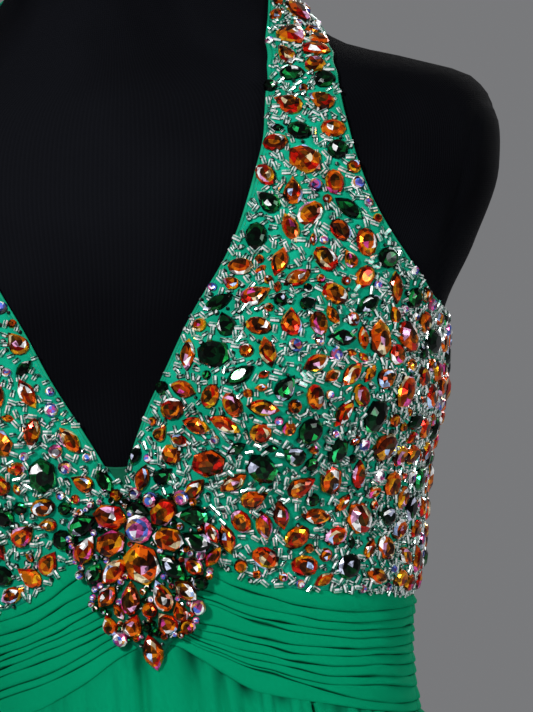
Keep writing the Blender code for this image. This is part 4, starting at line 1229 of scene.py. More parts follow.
def build_bodice_panel(name, parts, sign, seed):
    """One panel of ground cloth that keeps how far beads stay from its edge and where they crowd."""
    turn, z, faces, inside = panel_mesh(finer(whole_line(parts, sign), BODICE_STEP), BODICE_STEP)
    points = over_figure(turn, z, CLOTH_LIFT + pucker(turn, z, seed) * ramp(inside, PUCKER_FADE))
    item = add_mesh(name + "_cloth", points, faces, GROUND, uv=cloth_uv(turn, z))
    bare = beside_applique(turn, z, margin=0.0) | near_zip(turn, z, ZIP_STRIP)
    store(item, "from_edge", np.where(bare, 0.0, from_open_edges(parts, sign, turn, z)))
    to_side = ramp(np.abs(turn) - CROWD_FROM, CROWD_OVER) * ramp(CROWD_TOP - z, CROWD_SOFT)
    on_strap = STRAP_CROWD * ramp(z - STRAP_FROM, STRAP_SOFT)
    store(item, "crowded", np.maximum(to_side, on_strap))
    return item


bodice_cloth = {}
for name, _, cloth, sign, *_ in PANELS:
    bodice_cloth[name] = build_bodice_panel(name, cloth, sign, PANEL_SEEDS[name])
    print(name, len(bodice_cloth[name].data.polygons), "triangles of ground cloth")


# %% [markdown]
# The turned edge is a flattened cord. Its line runs once down the neck edge from the nape,
# once round each armhole from the side seam up to the nape, and along the top of the back.

# %% The rolled edges
BINDING_WIDTH = 0.0014
BINDING_RISE = 0.00066
BINDING_BED = 0.0002
BINDING_OVERHANG = 0.12
BINDING_SIDES = 10
BINDING_STEP = 0.004


def flat_normals(flat):
    """Directions in the flat panel to the left of an open line."""
    along = unit(np.gradient(flat, axis=0))
    return np.stack([-along[:, 1], along[:, 0]], axis=-1)


def fine_line(line, step):
    """A line of places (turn, z) in even steps, as flat places in metres."""
    fine = np.array(resample([tuple(p) for p in line], step))
    return to_flat(fine[:, 0], fine[:, 1]) / 1000


def rolled_edge(name, line, sign):
    """A flattened cord of cloth that wraps a panel's open edge."""
    flat = fine_line(line, BINDING_STEP)
    inward = flat_normals(flat) * sign
    rings = []
    for k in range(BINDING_SIDES):
        angle = 2 * math.pi * k / BINDING_SIDES
        reach = BINDING_WIDTH / 2 * (1 + math.cos(angle)) - BINDING_WIDTH * BINDING_OVERHANG
        lift = CLOTH_LIFT - BINDING_BED + BINDING_RISE * math.sin(angle)
        rings.append(over_figure(*from_flat(flat + inward * reach), lift))
    points = np.stack(rings, axis=1)
    length = np.concatenate([[0], np.cumsum(np.linalg.norm(np.diff(points[:, 0], axis=0), axis=1))])
    around = np.linspace(0, 2 * BINDING_WIDTH, BINDING_SIDES, endpoint=False)
    uv = np.stack(np.broadcast_arrays(around[None, :], length[:, None]), axis=-1)
    item = grid_object(name, points, uv, BINDING, closed=True, period=2 * BINDING_WIDTH)
    close_ends(item)
    return item


def nape_strap_edges():
    """Pairs of points on the neck strap's two edges, from the shoulder top to the nape."""
    table = numbered_curve(STRAP_NAPE)
    nape = 180 - math.degrees(SEAM_GAP / 2 / NAPE_R)
    steps = 24
    rows = [read(table, (len(STRAP_NAPE) - 1) * k / steps) for k in range(1, steps + 1)]
    return [((min(float(r[0]), nape), float(r[1])), (min(float(r[2]), nape), float(r[3]))) for r in rows]


def signed(line, sign):
    """A line on the wearer's left or mirrored to the right."""
    return [(sign * t, z) for t, z in line]


NAPE_EDGES = nape_strap_edges()
EDGE_LINES = {sign: {
    "neck": [neck for neck, _ in reversed(NAPE_EDGES)] + cloth["neck"],
    "armhole": cloth["side"][-1:] + cloth["armhole"] + [arm for _, arm in NAPE_EDGES],
    "back_top": BACK_CLOTH["top"],
} for sign, cloth in FRONT_CLOTH.items()}
bindings = []
for side, sign in (("left", 1), ("right", -1)):
    for place, line in EDGE_LINES[sign].items():
        item = rolled_edge(f"binding_{place}_{side}", signed(line, sign), sign)
        bindings.append(on_body(item))
print("bindings", len(bindings))

# %% [markdown]
# Every set stone is cut glass: a vertical girdle that hides in its claws, a crown of
# facets and a flat table on top. Real stones show bright and dark facets side by side,
# because each mirrors another part of the room. Each facet therefore gets its own colour
# from the stone's own family, drawn with a fixed seed: amber, emerald or pale rainbow.
# Those colours are the glass's own hue with painted reflection, and a few facets get a
# painted glint.

# %% Cut the stones
# Each family's colours are the glass's own hue with painted reflection: bright and dark facets stand for the
# room mirrored in the stone, and the glint colours are painted highlights.
AMBER = {"table": [(0.20, 0.050, 0.002), (0.06, 0.030, 0.004), (0.45, 0.070, 0.002), (0.060, 0.014, 0.001),
                   (0.34, 0.014, 0.001), (0.78, 0.20, 0.004)],
         "crown": [(1.00, 0.20, 0.003), (0.78, 0.075, 0.001), (0.13, 0.014, 0.001), (1.00, 0.38, 0.008),
                   (0.62, 0.008, 0.001), (0.04, 0.005, 0.001), (0.95, 0.12, 0.002)],
         "wall": [(0.50, 0.09, 0.002), (0.09, 0.010, 0.001), (0.75, 0.24, 0.008)],
         "glint": [(1.00, 1.00, 1.00), (1.00, 1.00, 1.00), (0.45, 0.62, 1.00), (1.00, 0.08, 0.42),
                   (1.00, 0.78, 0.45), (0.90, 0.42, 0.72)]}
EMERALD = {"table": [(0.000, 0.003, 0.001), (0.000, 0.012, 0.004), (0.000, 0.002, 0.001),
                     (0.001, 0.045, 0.010)],
           "crown": [(0.000, 0.003, 0.001), (0.000, 0.008, 0.003), (0.002, 0.130, 0.024),
                     (0.000, 0.002, 0.001), (0.000, 0.022, 0.006)],
           "wall": [(0.000, 0.006, 0.003)],
           "glint": [(0.60, 0.64, 0.85), (0.01, 0.45, 0.08), (0.03, 0.75, 0.20), (1.00, 1.00, 1.00)]}
RAINBOW = {"table": [(0.80, 0.78, 0.88), (0.16, 0.14, 0.70), (0.62, 0.09, 0.36), (0.08, 0.20, 0.76)],
           "crown": [(0.66, 0.12, 0.28), (0.10, 0.17, 0.62), (0.85, 0.36, 0.12), (1.00, 1.00, 1.00),
                     (0.02, 0.01, 0.04), (0.44, 0.36, 0.42)],
           "wall": [(0.10, 0.07, 0.10), (0.34, 0.31, 0.35)],
           "glint": [(1.00, 1.00, 1.00), (1.00, 0.15, 0.50)]}
STONE_SINK = 0.0006
TABLE_HIGH = 1.01
LEVELLED = 0.8
SMALL_ROUND = 0.0092
STONE_RINGS = (
    # share of the outline, share of the height, zone
    (1.00, 0.34, "wall"),
    (0.84, 0.76, "crown"),
    (0.55, 1.00, "crown"),
)
BIG_FACETS = (
    # share of the outline, share of the height, zone
    (1.00, 0.34, "wall"),
    (0.91, 0.60, "crown"),
    (0.46, 1.00, "crown"),
)


def whole_rim(half):
    """A rim from its upper half, the same below."""
    return [*half, *((x, -y) for x, y in half[-2:0:-1])]


ROUND_RIM = [(math.cos(math.pi * k / 5), math.sin(math.pi * k / 5)) for k in range(10)]
STONE_RIMS = {
    # shares of half the length and half the width, the long side along x
    "cosmic": [(1.0, 0.15), (0.72, 0.62), (0.45, 1.0), (-0.05, 0.95), (-0.55, 0.85), (-0.80, 0.36),
               (-1.0, -0.1), (-0.70, -0.60), (-0.40, -1.0), (0.10, -0.92), (0.60, -0.8), (0.83, -0.30)],
    "navette": whole_rim([(1.0, 0.0), (0.72, 0.46), (0.38, 0.86), (0.0, 1.0), (-0.38, 0.86), (-0.72, 0.46),
                          (-1.0, 0.0)]),
    "pear": whole_rim([(1.0, 0.0), (0.62, 0.42), (0.20, 0.82), (-0.22, 1.0), (-0.62, 0.88), (-0.90, 0.50),
                       (-1.0, 0.0)]),
    "oval": ROUND_RIM,
    "round": ROUND_RIM,
}


def draw_family(rng, stone, mix):
    """Which family of colours a stone belongs to; small rounds are mostly pale rainbow."""
    pick = rng.random()
    small = stone["kind"] == "round" and stone["width"] < SMALL_ROUND
    amber, emerald = mix["small round" if small else "other"]
    return AMBER if pick < amber else EMERALD if pick < amber + emerald else RAINBOW


def cut_stone(stone, base_lift, family, glints, rng):
    """Points, faces and one colour for each face of one stone."""
    outline = np.array(STONE_RIMS[stone["kind"]]) * (stone["length"] / 2, stone["width"] / 2)
    count = len(outline)
    perch = stone.get("perch", 0.0)
    rings = [(1.0, -STONE_SINK, "wall")]
    for share, high, zone in BIG_FACETS if stone["kind"] == "cosmic" else STONE_RINGS:
        rings.append((share, perch + stone["height"] * high, zone))
    flat, lifts = [], []
    for r, (share, high, _) in enumerate(rings):
        ring = outline if r < 2 else (outline + np.roll(outline, -1 if r == 2 else 1, axis=0)) / 2
        flat.append(ring * share)
        lifts.append(np.full(count, base_lift + high))
    flat = np.concatenate([*flat, np.zeros((2, 2))])
    middles = [base_lift + perch + stone["height"] * TABLE_HIGH, base_lift - STONE_SINK]
    lifts = np.concatenate([*lifts, middles])
    at = np.full(len(flat), stone["turn"]), np.full(len(flat), stone["z"])
    turn, z = place_points(*at, stone["tilt"], *flat.T)
    centre, normal, _, _ = figure_frame(np.array(stone["turn"]), np.array(stone["z"]))
    points = over_figure(turn, z, 0.0) + normal * lifts[:, None]
    uneven = (points - centre) @ normal - lifts
    points = points - normal * uneven[:, None] * np.where(lifts > base_lift, LEVELLED, 0.0)[:, None]
    faces, colours = [], []
    for r in range(3):
        # Painted reflection: each ring's facets draw light and dark colours, and some draw a painted glint.
        zone = family[rings[r + 1][2]]
        drawn = [rng.choice(family["glint"] if r and rng.random() < glints[0] else zone)
                 for _ in range(count)]
        for k in range(count):
            n = (k + 1) % count
            a, b, c, d = r * count + k, r * count + n, (r + 1) * count + n, (r + 1) * count + k
            if r == 0:
                faces.append([a, b, c, d])
                colours.append(drawn[k // 3])
            else:
                faces += [[a, b, d], [b, c, d]] if r == 1 else [[a, b, c], [a, c, d]]
                first = (k + r) % count // 2
                colours += [drawn[first], drawn[first if r == 2 else (k + 1) % count // 2]]
    top, bottom = 4 * count, 4 * count + 1
    sectors = [rng.choice(family["table"]) for _ in range(4)]
    # Some stones get one table sector as a large painted glint.
    if rng.random() < glints[1]:
        sectors[rng.randrange(4)] = rng.choice(family["glint"])
    for k in range(count):
        n = (k + 1) % count
        faces.append([3 * count + k, 3 * count + n, top])
        colours.append(sectors[k * 4 // count])
        faces.append([n, k, bottom])
        colours.append(family["wall"][0])
    return points, faces, colours


def stone_mesh(name, stones, lift_at, seed, mix):
    """All stones of one panel as one mesh."""
    rng = random.Random(seed)
    points, faces, colours, start = [], [], [], 0
    for stone in stones:
        family = stone.get("family") or draw_family(rng, stone, mix)
        made, own_faces, own = cut_stone(stone, lift_at(stone["z"]), family, mix["glints"], rng)
        points.append(made)
        faces += [[i + start for i in face] for face in own_faces]
        colours += own
        start += len(made)
    item = add_mesh(name, np.concatenate(points), faces, GEM, smooth=False)
    # The facet colours carry the painted reflections and glints.
    store(item, "facet", [(*colour, 1.0) for colour in colours], "FLOAT_COLOR", "FACE")
    return item


def level_lift(z):
    """Stones of the bodice sit on its cloth at any height."""
    return CLOTH_LIFT + 0 * z


# Glints: the shares of crown facets and of tables painted as glints.
BODICE_MIX = {"small round": (0.36, 0.16), "other": (0.76, 0.24), "glints": (0.15, 0.36)}
gems = {}
for name, seed in PANEL_SEEDS.items():
    gems[name] = stone_mesh(name + "_stones", panel_stones[name], level_lift, seed, BODICE_MIX)
    print(name, len(gems[name].data.polygons), "facets")

# %% [markdown]
# Between the stones the bodice glitters with bugle beads, short cut tubes of silvered
# glass sewn in every direction, and with tiny dark seed beads. One Geometry Nodes tree
# scatters either: points with a least spacing, none near the panel's edge or a stone,
# one bead at each, turned at random on the cloth. Beads get smaller and denser towards
# the side seam, where the pattern runs out into pale glitter.

# %% Make one bugle bead and one seed bead
BUGLE_LONG, BUGLE_WIDE = 0.0041, 0.0023
BUGLE_CORNERS = (20, 70, 180, 290, 340)
BUGLE_SPLIT = 0.04
BUGLE_LIFT = 0.36
# Painted highlight and shade on the bugle: each half of each long face and each end has a fixed brightness,
# whichever way the bead lies.
BUGLE_END_HIGHLIGHTS = (0.95, 0.70)
BUGLE_SHINES = (
    # the near and the far half of each long face, from the upper right round to the top
    (0.98, 0.56),
    (0.50, 0.30),
    (0.45, 0.25),
    (0.90, 0.34),
    (0.20, 0.04),
)
SEED_WIDE = 0.0027
# Painted highlight on the seed bead's cap, painted shade on its sides.
CAP_SHINE, SIDE_SHINE = 0.75, 0.2


def bead_material(name, ramp, constants):
    """Glass beads: the painted brightness of each face, from shade to highlight, and the bead's own tint
    through a colour ramp.
    """
    material, tree, shader = new_material(name, constants)
    shine = maths(tree, "MULTIPLY", attribute(tree, "shine"), 0.70)
    mixed = maths(tree, "MULTIPLY_ADD", attribute(tree, "tint"), 0.30, shine)
    colours = node(tree, "ShaderNodeValToRGB", {0: mixed})
    marks = colours.color_ramp.elements
    for k, (place, colour) in enumerate((ramp[0], ramp[-1])):
        marks[k].position, marks[k].color = place, (*colour, 1)
    for place, colour in ramp[1:-1]:
        marks.new(place).color = (*colour, 1)
    feed(tree, shader, {"Base Color": colours.outputs["Color"]})
    return material


# Both ramps run from near black painted shade to a near white painted highlight.
BUGLE_GLASS = bead_material("silvered_bugle", (
    (0.03, (0.00, 0.012, 0.009)), (0.20, (0.00, 0.060, 0.042)), (0.38, (0.02, 0.260, 0.180)),
    (0.58, (0.52, 0.70, 0.64)), (0.80, (1.00, 1.00, 1.00))),
    {"Metallic": 0.40, "Roughness": 0.14, "Coat Weight": 0.25, "Coat Roughness": 0.04})
SEED_GLASS = bead_material("dark_seed_bead", (
    (0.10, (0.000, 0.006, 0.005)), (0.38, (0.003, 0.018, 0.014)), (0.62, (0.05, 0.12, 0.10)),
    (0.85, (0.90, 0.95, 0.92))),
    {"Metallic": 0.4, "Roughness": 0.12, "Coat Weight": 0.5, "Coat Roughness": 0.04})


def prism_bead(name, length, width, shines):
    """A cut tube that lies along x, its faces painted bright as highlight on one half and dark as shade on
    the other.
    """
    ring = [(-0.5 * width * math.sin(math.radians(angle)), 0.5 * width * math.cos(math.radians(angle)))
            for angle in BUGLE_CORNERS]
    points = [(x, y, z) for x in (-length / 2, BUGLE_SPLIT * length, length / 2) for y, z in ring]
    item = add_mesh(name, points, tube_faces(3, len(ring)), GEM, smooth=False)
    values = [pair[half] for half in range(2) for pair in shines]
    store(item, "shine", [*values, *BUGLE_END_HIGHLIGHTS], domain="FACE")
    item.hide_render = True
    return item


def round_bead(name, width):
    """A small bead with a painted highlight on one side of its cap, for the light it mirrors."""
    shape = bmesh.new()
    bmesh.ops.create_uvsphere(shape, u_segments=6, v_segments=4, radius=width / 2)
    mesh = bpy.data.meshes.new(name)
    shape.to_mesh(mesh)
    shape.free()
    item = new_object(name, mesh)
    capped = [face.center.z > 0.25 * width and face.center.x > 0 for face in mesh.polygons]
    store(item, "shine", [CAP_SHINE if cap else SIDE_SHINE for cap in capped], domain="FACE")
    item.hide_render = True
    return item


bugle = prism_bead("one_bugle", BUGLE_LONG, BUGLE_WIDE, BUGLE_SHINES)
seed_bead = round_bead("one_seed_bead", SEED_WIDE)
print("bead faces", len(bugle.data.polygons), len(seed_bead.data.polygons))


# %% The tree that scatters beads
def of_object(tree, socket):
    """The shape of an object that a tree is given."""
    return node(tree, "GeometryNodeObjectInfo", {"Object": socket}).outputs["Geometry"]


def kept_value(tree, name, kind="FLOAT"):
    """What the cloth keeps under this name."""
    return node(tree, "GeometryNodeInputNamedAttribute", {"Name": name}, data_type=kind).outputs["Attribute"]


def below(tree, value, limit):
    """Where a value is under its limit."""
    return node(tree, "FunctionNodeCompare", {"A": value, "B": limit}, data_type="FLOAT",
                operation="LESS_THAN").outputs["Result"]


def drawn_value(tree, values):
    """A seeded random value for each bead."""
    return node(tree, "FunctionNodeRandomValue", values, data_type="FLOAT").outputs[1]


def finish_tree(tree, out, label, instances, finish):
    """The tree's ending: instances made real, with their material."""
    real = node(tree, "GeometryNodeRealizeInstances", {"Geometry": instances})
    dressed = node(tree, "GeometryNodeSetMaterial", {"Geometry": real.outputs["Geometry"],
                                                     "Material": finish})
    feed(tree, out, {label: dressed.outputs["Geometry"]})
    return tree


def scatter_tree():
    """Cloth in, beads out."""
    tree, given, out = new_tree(
        "scatter_beads", "GeometryNodeTree",
        [("Cloth", "Geometry"), ("Stones", "Object"), ("Bead", "Object"), ("Spacing", "Float"),
         ("Density", "Float"), ("Clear", "Float"), ("Edge", "Float"), ("Crowding", "Float"),
         ("Smallest", "Float"), ("Largest", "Float"), ("Lift", "Float"), ("Seed", "Int"),
         ("Finish", "Material")],
        [("Beads", "Geometry")])
    factor = node(tree, "ShaderNodeMix", {"Factor": given["Crowding"], "A": 1.0,
                                          "B": kept_value(tree, "crowded")}, data_type="FLOAT")
    spread = node(tree, "GeometryNodeDistributePointsOnFaces", {
        "Mesh": given["Cloth"], "Distance Min": given["Spacing"], "Density Max": given["Density"],
        "Density Factor": factor.outputs["Result"], "Seed": given["Seed"]}, distribute_method="POISSON")
    near = node(tree, "GeometryNodeProximity", {"Target": of_object(tree, given["Stones"])})
    either = node(tree, "FunctionNodeBooleanMath", {
        0: below(tree, near.outputs["Distance"], given["Clear"]),
        1: below(tree, kept_value(tree, "from_edge"), given["Edge"])}, operation="OR")
    kept = node(tree, "GeometryNodeDeleteGeometry", {"Geometry": spread.outputs["Points"],
                                                     "Selection": either.outputs[0]}, domain="POINT")
    roll = drawn_value(tree, {"Max": 6.283, "Seed": given["Seed"]})
    spin = node(tree, "FunctionNodeAxisAngleToRotation", {"Axis": (0, 0, 1), "Angle": roll})
    turned = node(tree, "FunctionNodeRotateRotation", {
        "Rotation": spread.outputs["Rotation"], "Rotate By": spin.outputs["Rotation"]},
        rotation_space="LOCAL")
    size = drawn_value(tree, {"Min": given["Smallest"], "Max": given["Largest"], "Seed": given["Seed"]})
    up = node(tree, "ShaderNodeVectorMath", {0: spread.outputs["Normal"], "Scale": given["Lift"]},
              operation="SCALE")
    raised = node(tree, "GeometryNodeSetPosition", {"Geometry": kept.outputs["Geometry"],
                                                    "Offset": up.outputs["Vector"]})
    placed = node(tree, "GeometryNodeInstanceOnPoints", {
        "Points": raised.outputs["Geometry"], "Instance": of_object(tree, given["Bead"]),
        "Rotation": turned.outputs["Rotation"], "Scale": size})
    marked = node(tree, "GeometryNodeStoreNamedAttribute", {
        "Geometry": placed.outputs["Instances"], "Name": "tint",
        "Value": drawn_value(tree, {"Seed": given["Seed"]})}, data_type="FLOAT", domain="INSTANCE")
    return finish_tree(tree, out, "Beads", marked.outputs["Geometry"], given["Finish"])


def run_tree(name, tree, base, values):
    """A plain mesh that a Geometry Nodes tree makes from a base object."""
    worker = new_object(name, base.data)
    change = worker.modifiers.new("tree", "NODES")
    change.node_group = tree
    places = {socket.name: socket.identifier for socket in tree.interface.items_tree
              if socket.item_type == "SOCKET" and socket.in_out == "INPUT"}
    for label, value in values.items():
        change[places[label]] = value
    worker.update_tag()
    shown = worker.evaluated_get(bpy.context.evaluated_depsgraph_get())
    mesh = bpy.data.meshes.new_from_object(shown)
    bpy.data.objects.remove(worker)
    return new_object(name, mesh)


SCATTER = scatter_tree()
BEAD_RUNS = (
    # name, bead, finish, spacing, density, clear, edge, crowding, smallest, largest
    ("bugles", bugle, BUGLE_GLASS, 0.0030, 190000.0, 0.0007, 0.0011, 0.0, 0.85, 1.08),
    ("glitter", bugle, BUGLE_GLASS, 0.0020, 190000.0, 0.0004, 0.0009, 1.0, 0.50, 0.80),
    ("seed_beads", seed_bead, SEED_GLASS, 0.0044, 95000.0, 0.0008, 0.0010, 0.0, 0.70, 1.25),
)
beads = {}
for name, seed in PANEL_SEEDS.items():
    for k, (run, bead, finish, spacing, density, clear, edge, crowding, low, high) in enumerate(BEAD_RUNS):
        beads[name, run] = run_tree(f"{name}_{run}", SCATTER, bodice_cloth[name], {
            "Stones": gems[name], "Bead": bead, "Spacing": spacing, "Density": density, "Clear": clear,
            "Edge": edge, "Crowding": crowding, "Smallest": low, "Largest": high,
            "Lift": BUGLE_WIDE * BUGLE_LIFT, "Seed": seed + k, "Finish": finish})
        print(name, run, len(beads[name, run].data.polygons), "faces")

# %% Give the bodice cloth its wall and join each panel's pieces to the body
for name in bodice_cloth:
    on_body(thicken(bodice_cloth[name], CLOTH_WALL), [name])
    on_body(gems[name])
    for run in BEAD_RUNS:
        on_body(beads[name, run[0]])
print("bodice pieces", 4 * (2 + len(BEAD_RUNS)))

# %% [markdown]
# Below the V sits a thick applique: a shield of cloth on a stiff backing, edged and
# filled with the largest stones, so it stands proud of the pleats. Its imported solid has
# the large stones; smaller rounds and ovals are packed between and slightly over the edge
# here, which gives the ragged outline that a cloud of stones has.

# %% The applique's pad and stones
APPLIQUE_STONES = (
    # one half; a stone off the middle is set on both sides
    # kind,     x,      z,      length, width,  height, tilt
    ("round", 0.0000, 1.2060, 0.0115, 0.0115, 0.0045, 90),
    ("cosmic", 0.0000, 1.1880, 0.0165, 0.0135, 0.0050, 90),
    ("navette", 0.0000, 1.1425, 0.0150, 0.0085, 0.0040, 90),
    ("cosmic", 0.0140, 1.2135, 0.0130, 0.0090, 0.0040, 20),
    ("pear", 0.0285, 1.2110, 0.0130, 0.0080, 0.0038, 165),
    ("cosmic", 0.0150, 1.2000, 0.0130, 0.0095, 0.0040, 150),
    ("pear", 0.0285, 1.1985, 0.0120, 0.0078, 0.0036, 140),
    ("navette", 0.0150, 1.1855, 0.0130, 0.0072, 0.0038, 130),
    ("navette", 0.0255, 1.1850, 0.0095, 0.0065, 0.0034, 120),
    ("pear", 0.0080, 1.1715, 0.0130, 0.0075, 0.0038, 110),
    ("navette", 0.0200, 1.1730, 0.0100, 0.0065, 0.0034, 125),
    ("pear", 0.0085, 1.1575, 0.0090, 0.0075, 0.0034, 110),
)
APPLIQUE_KINDS = (
    # name,    length, width,  height, share
    ("navette", 0.0128, 0.0066, 0.0034, 4),
    ("pear", 0.0110, 0.0080, 0.0034, 3),
    ("round", 0.0082, 0.0082, 0.0038, 3),
)
APPLIQUE_SMALL = (
    # name,    length, width,  height, share
    ("round", 0.0070, 0.0070, 0.0036, 4),
    ("navette", 0.0092, 0.0050, 0.0030, 3),
    ("round", 0.0050, 0.0050, 0.0030, 4),
    ("round", 0.0038, 0.0038, 0.0026, 4),
)
APPLIQUE_TINY = (
    # name,    length, width,  height, share
    ("round", 0.0040, 0.0040, 0.0026, 3),
    ("round", 0.0030, 0.0030, 0.0022, 3),
)
APPLIQUE_ROUNDS = (
    # inset of the edge, seed, kinds, most stones, gap, margin to the edge, tries
    (-0.0012, 71, APPLIQUE_KINDS, 60, -0.0012, -0.0030, 6000),
    (0.0, 72, APPLIQUE_SMALL, 120, -0.0010, -0.0020, 9000),
    (0.0, 73, APPLIQUE_TINY, 90, -0.0008, -0.0012, 9000),
)
# Glints: the shares of crown facets and of tables painted as glints.
APPLIQUE_MIX = {"small round": (0.30, 0.28), "other": (0.68, 0.31), "glints": (0.22, 0.50)}
APPLIQUE_BEADS = {"Spacing": 0.0026, "Density": 200000.0, "Clear": 0.0005, "Edge": 0.0008, "Crowding": 0.0,
                  "Smallest": 0.6, "Largest": 0.9, "Lift": 0.0006, "Seed": 9}
APPLIQUE_TIP = 1.1500
APPLIQUE_NOTCHES = (
    # x,      z,      radius
    (0.0430, 1.1870, 0.0070),
    (0.0340, 1.1660, 0.0085),
    (0.0265, 1.1500, 0.0080),
    (-0.0440, 1.2050, 0.0065),
    (-0.0350, 1.1760, 0.0080),
    (-0.0300, 1.1590, 0.0085),
    (-0.0210, 1.1460, 0.0060),
)
PERCH = 0.0014
APPLIQUE_STEP_Z, APPLIQUE_STEP = 1.212, 0.012
APPLIQUE_CLEAR, APPLIQUE_THICK = 0.0009, 0.0014
PLEAT_RISE = 0.0016
PAD_INSET, PAD_STEP = 0.0034, 0.003
EDGE_MIDDLE_Z, EDGE_CORNER, INSET_UP = 1.18, 0.010, 0.8
APPLIQUE_GROW, GROW_SPREAD = 1.34, 0.08
TILT_SPREAD = 14


def applique_lift(z):
    """The pad's outside: it rises from the plain bodice on to the raised pleats."""
    step = ramp(APPLIQUE_STEP_Z - np.asarray(z, float), APPLIQUE_STEP)
    return CLOTH_OUT + APPLIQUE_CLEAR + APPLIQUE_THICK + step * PLEAT_RISE


def applique_line(inset=0.0):
    """The closed edge, drawn in a little for the pad that hides under its stones."""
    half = [(max(0.0, x - inset * min(1.0, x / EDGE_CORNER)),
             z + inset * (1 if z < EDGE_MIDDLE_Z else -1) * INSET_UP) for x, z in APPLIQUE_EDGE]
    return [(float(turn_at(x, z)), z) for x, z in whole_edge(half)]


def applique_stones():
    """The large stones of the table, each a little uneven in size, tilt and perch."""
    stones = []
    rng = random.Random(3)
    for kind, x, z, length, width, height, tilt in APPLIQUE_STONES:
        family = (RAINBOW if kind == "round" else AMBER) if x == 0 else None
        for sign in ((1, -1) if x > 0 else (1,)):
            grow = APPLIQUE_GROW + rng.uniform(-GROW_SPREAD, GROW_SPREAD)
            own_tilt = mirrored(tilt, sign) + rng.uniform(-TILT_SPREAD, TILT_SPREAD)
            stone = given_stone(kind, sign * x + APPLIQUE_SHIFT, z, length * grow, width * grow, height,
                                own_tilt, family)
            stone["perch"] = rng.uniform(0.2, 1) * PERCH
            stones.append(stone)
    return stones


def left_bare(turn, z):
    """The ragged parts of the edge: notches, and the tip, where one drop-shaped stone hangs alone."""
    x = over_figure(turn, z, 0.0)[:, 0] - APPLIQUE_SHIFT
    bare = z < APPLIQUE_TIP
    for notch_x, notch_z, radius in APPLIQUE_NOTCHES:
        bare |= np.hypot(x - notch_x, z - notch_z) < radius
    return bare


large = applique_stones()
fill = []
for inset, seed, *fill_round in APPLIQUE_ROUNDS:
    fill += scatter_stones(applique_line(inset), seed, left_bare, large + fill, *fill_round)
turn, z, faces, inside = panel_mesh(finer(applique_line(PAD_INSET), PAD_STEP), PAD_STEP)
# The pad's dark colour is painted shade between the stones.
pad = add_mesh("applique_pad", over_figure(turn, z, applique_lift(z)), faces, PAD_CLOTH_PAINTED_SHADE,
               uv=cloth_uv(turn, z))
store(pad, "from_edge", inside)
applique_gems = stone_mesh("applique_stones", large + fill, applique_lift, 5, APPLIQUE_MIX)
applique_beads = run_tree("applique_beads", SCATTER, pad, {
    "Stones": applique_gems, "Bead": seed_bead, "Finish": SEED_GLASS, **APPLIQUE_BEADS})
on_body(thicken(pad, APPLIQUE_THICK), ["centre_applique"])
on_body(applique_gems)
on_body(applique_beads)
print("applique stones", len(large) + len(fill))

# %% [markdown]
# The midriff is chiffon pleated by hand over a fitted lining. On the wearer's left the
# pleats run down from the applique and then bend level; on the right they fan from it
# towards the side seam. No two have the same width, so each pleat's edge is a row
# of the table, as shares of the band's height. Where a pleat turns, its neighbour opens a
# short gap, and each groove's floor is painted dark as shade, darker where it opens wider.

# %% Place the pleats
PLEAT_TURNS = (0, 12, 20, 28, 36, 45, 54, 68, 90, 120, 150, 180)
LEFT_PLEATS = (
    # share of the band's height at each turn of PLEAT_TURNS
    (0.07, 0.100, 0.179, 0.207, 0.165, 0.114, 0.086, 0.075, 0.08, 0.09, 0.08, 0.09),
    (0.10, 0.128, 0.208, 0.237, 0.202, 0.176, 0.200, 0.225, 0.20, 0.18, 0.19, 0.18),
    (0.14, 0.165, 0.250, 0.303, 0.285, 0.250, 0.274, 0.300, 0.30, 0.28, 0.27, 0.28),
    (0.17, 0.200, 0.303, 0.371, 0.345, 0.340, 0.364, 0.400, 0.40, 0.38, 0.37, 0.38),
    (0.22, 0.265, 0.392, 0.452, 0.418, 0.430, 0.447, 0.485, 0.49, 0.47, 0.46, 0.47),
    (0.29, 0.330, 0.456, 0.511, 0.495, 0.502, 0.512, 0.545, 0.57, 0.56, 0.55, 0.56),
    (0.50, 0.530, 0.620, 0.645, 0.614, 0.607, 0.605, 0.632, 0.66, 0.65, 0.64, 0.65),
    (0.54, 0.570, 0.660, 0.692, 0.679, 0.661, 0.668, 0.700, 0.73, 0.73, 0.73, 0.74),
    (0.60, 0.640, 0.738, 0.782, 0.769, 0.733, 0.734, 0.770, 0.81, 0.82, 0.82, 0.82),
    (0.80, 0.820, 0.868, 0.898, 0.856, 0.837, 0.830, 0.858, 0.90, 0.91, 0.91, 0.91),
)
RIGHT_PLEATS = (
    # share of the band's height at each turn of PLEAT_TURNS
    (0.09, 0.143, 0.184, 0.218, 0.232, 0.233, 0.225, 0.20, 0.15, 0.12, 0.11, 0.11),
    (0.17, 0.217, 0.257, 0.292, 0.307, 0.307, 0.305, 0.29, 0.25, 0.22, 0.22, 0.21),
    (0.23, 0.300, 0.369, 0.424, 0.433, 0.425, 0.415, 0.40, 0.36, 0.33, 0.32, 0.33),
    (0.30, 0.366, 0.447, 0.505, 0.503, 0.492, 0.480, 0.47, 0.45, 0.43, 0.43, 0.42),
    (0.37, 0.435, 0.520, 0.575, 0.572, 0.560, 0.555, 0.55, 0.54, 0.53, 0.51, 0.52),
    (0.45, 0.509, 0.571, 0.625, 0.625, 0.615, 0.620, 0.63, 0.64, 0.62, 0.63, 0.61),
    (0.53, 0.570, 0.655, 0.704, 0.700, 0.695, 0.700, 0.71, 0.73, 0.72, 0.70, 0.72),
    (0.62, 0.680, 0.755, 0.785, 0.792, 0.795, 0.790, 0.80, 0.81, 0.82, 0.82, 0.81),
    (0.84, 0.830, 0.869, 0.910, 0.915, 0.913, 0.910, 0.91, 0.905, 0.91, 0.92, 0.91),
)
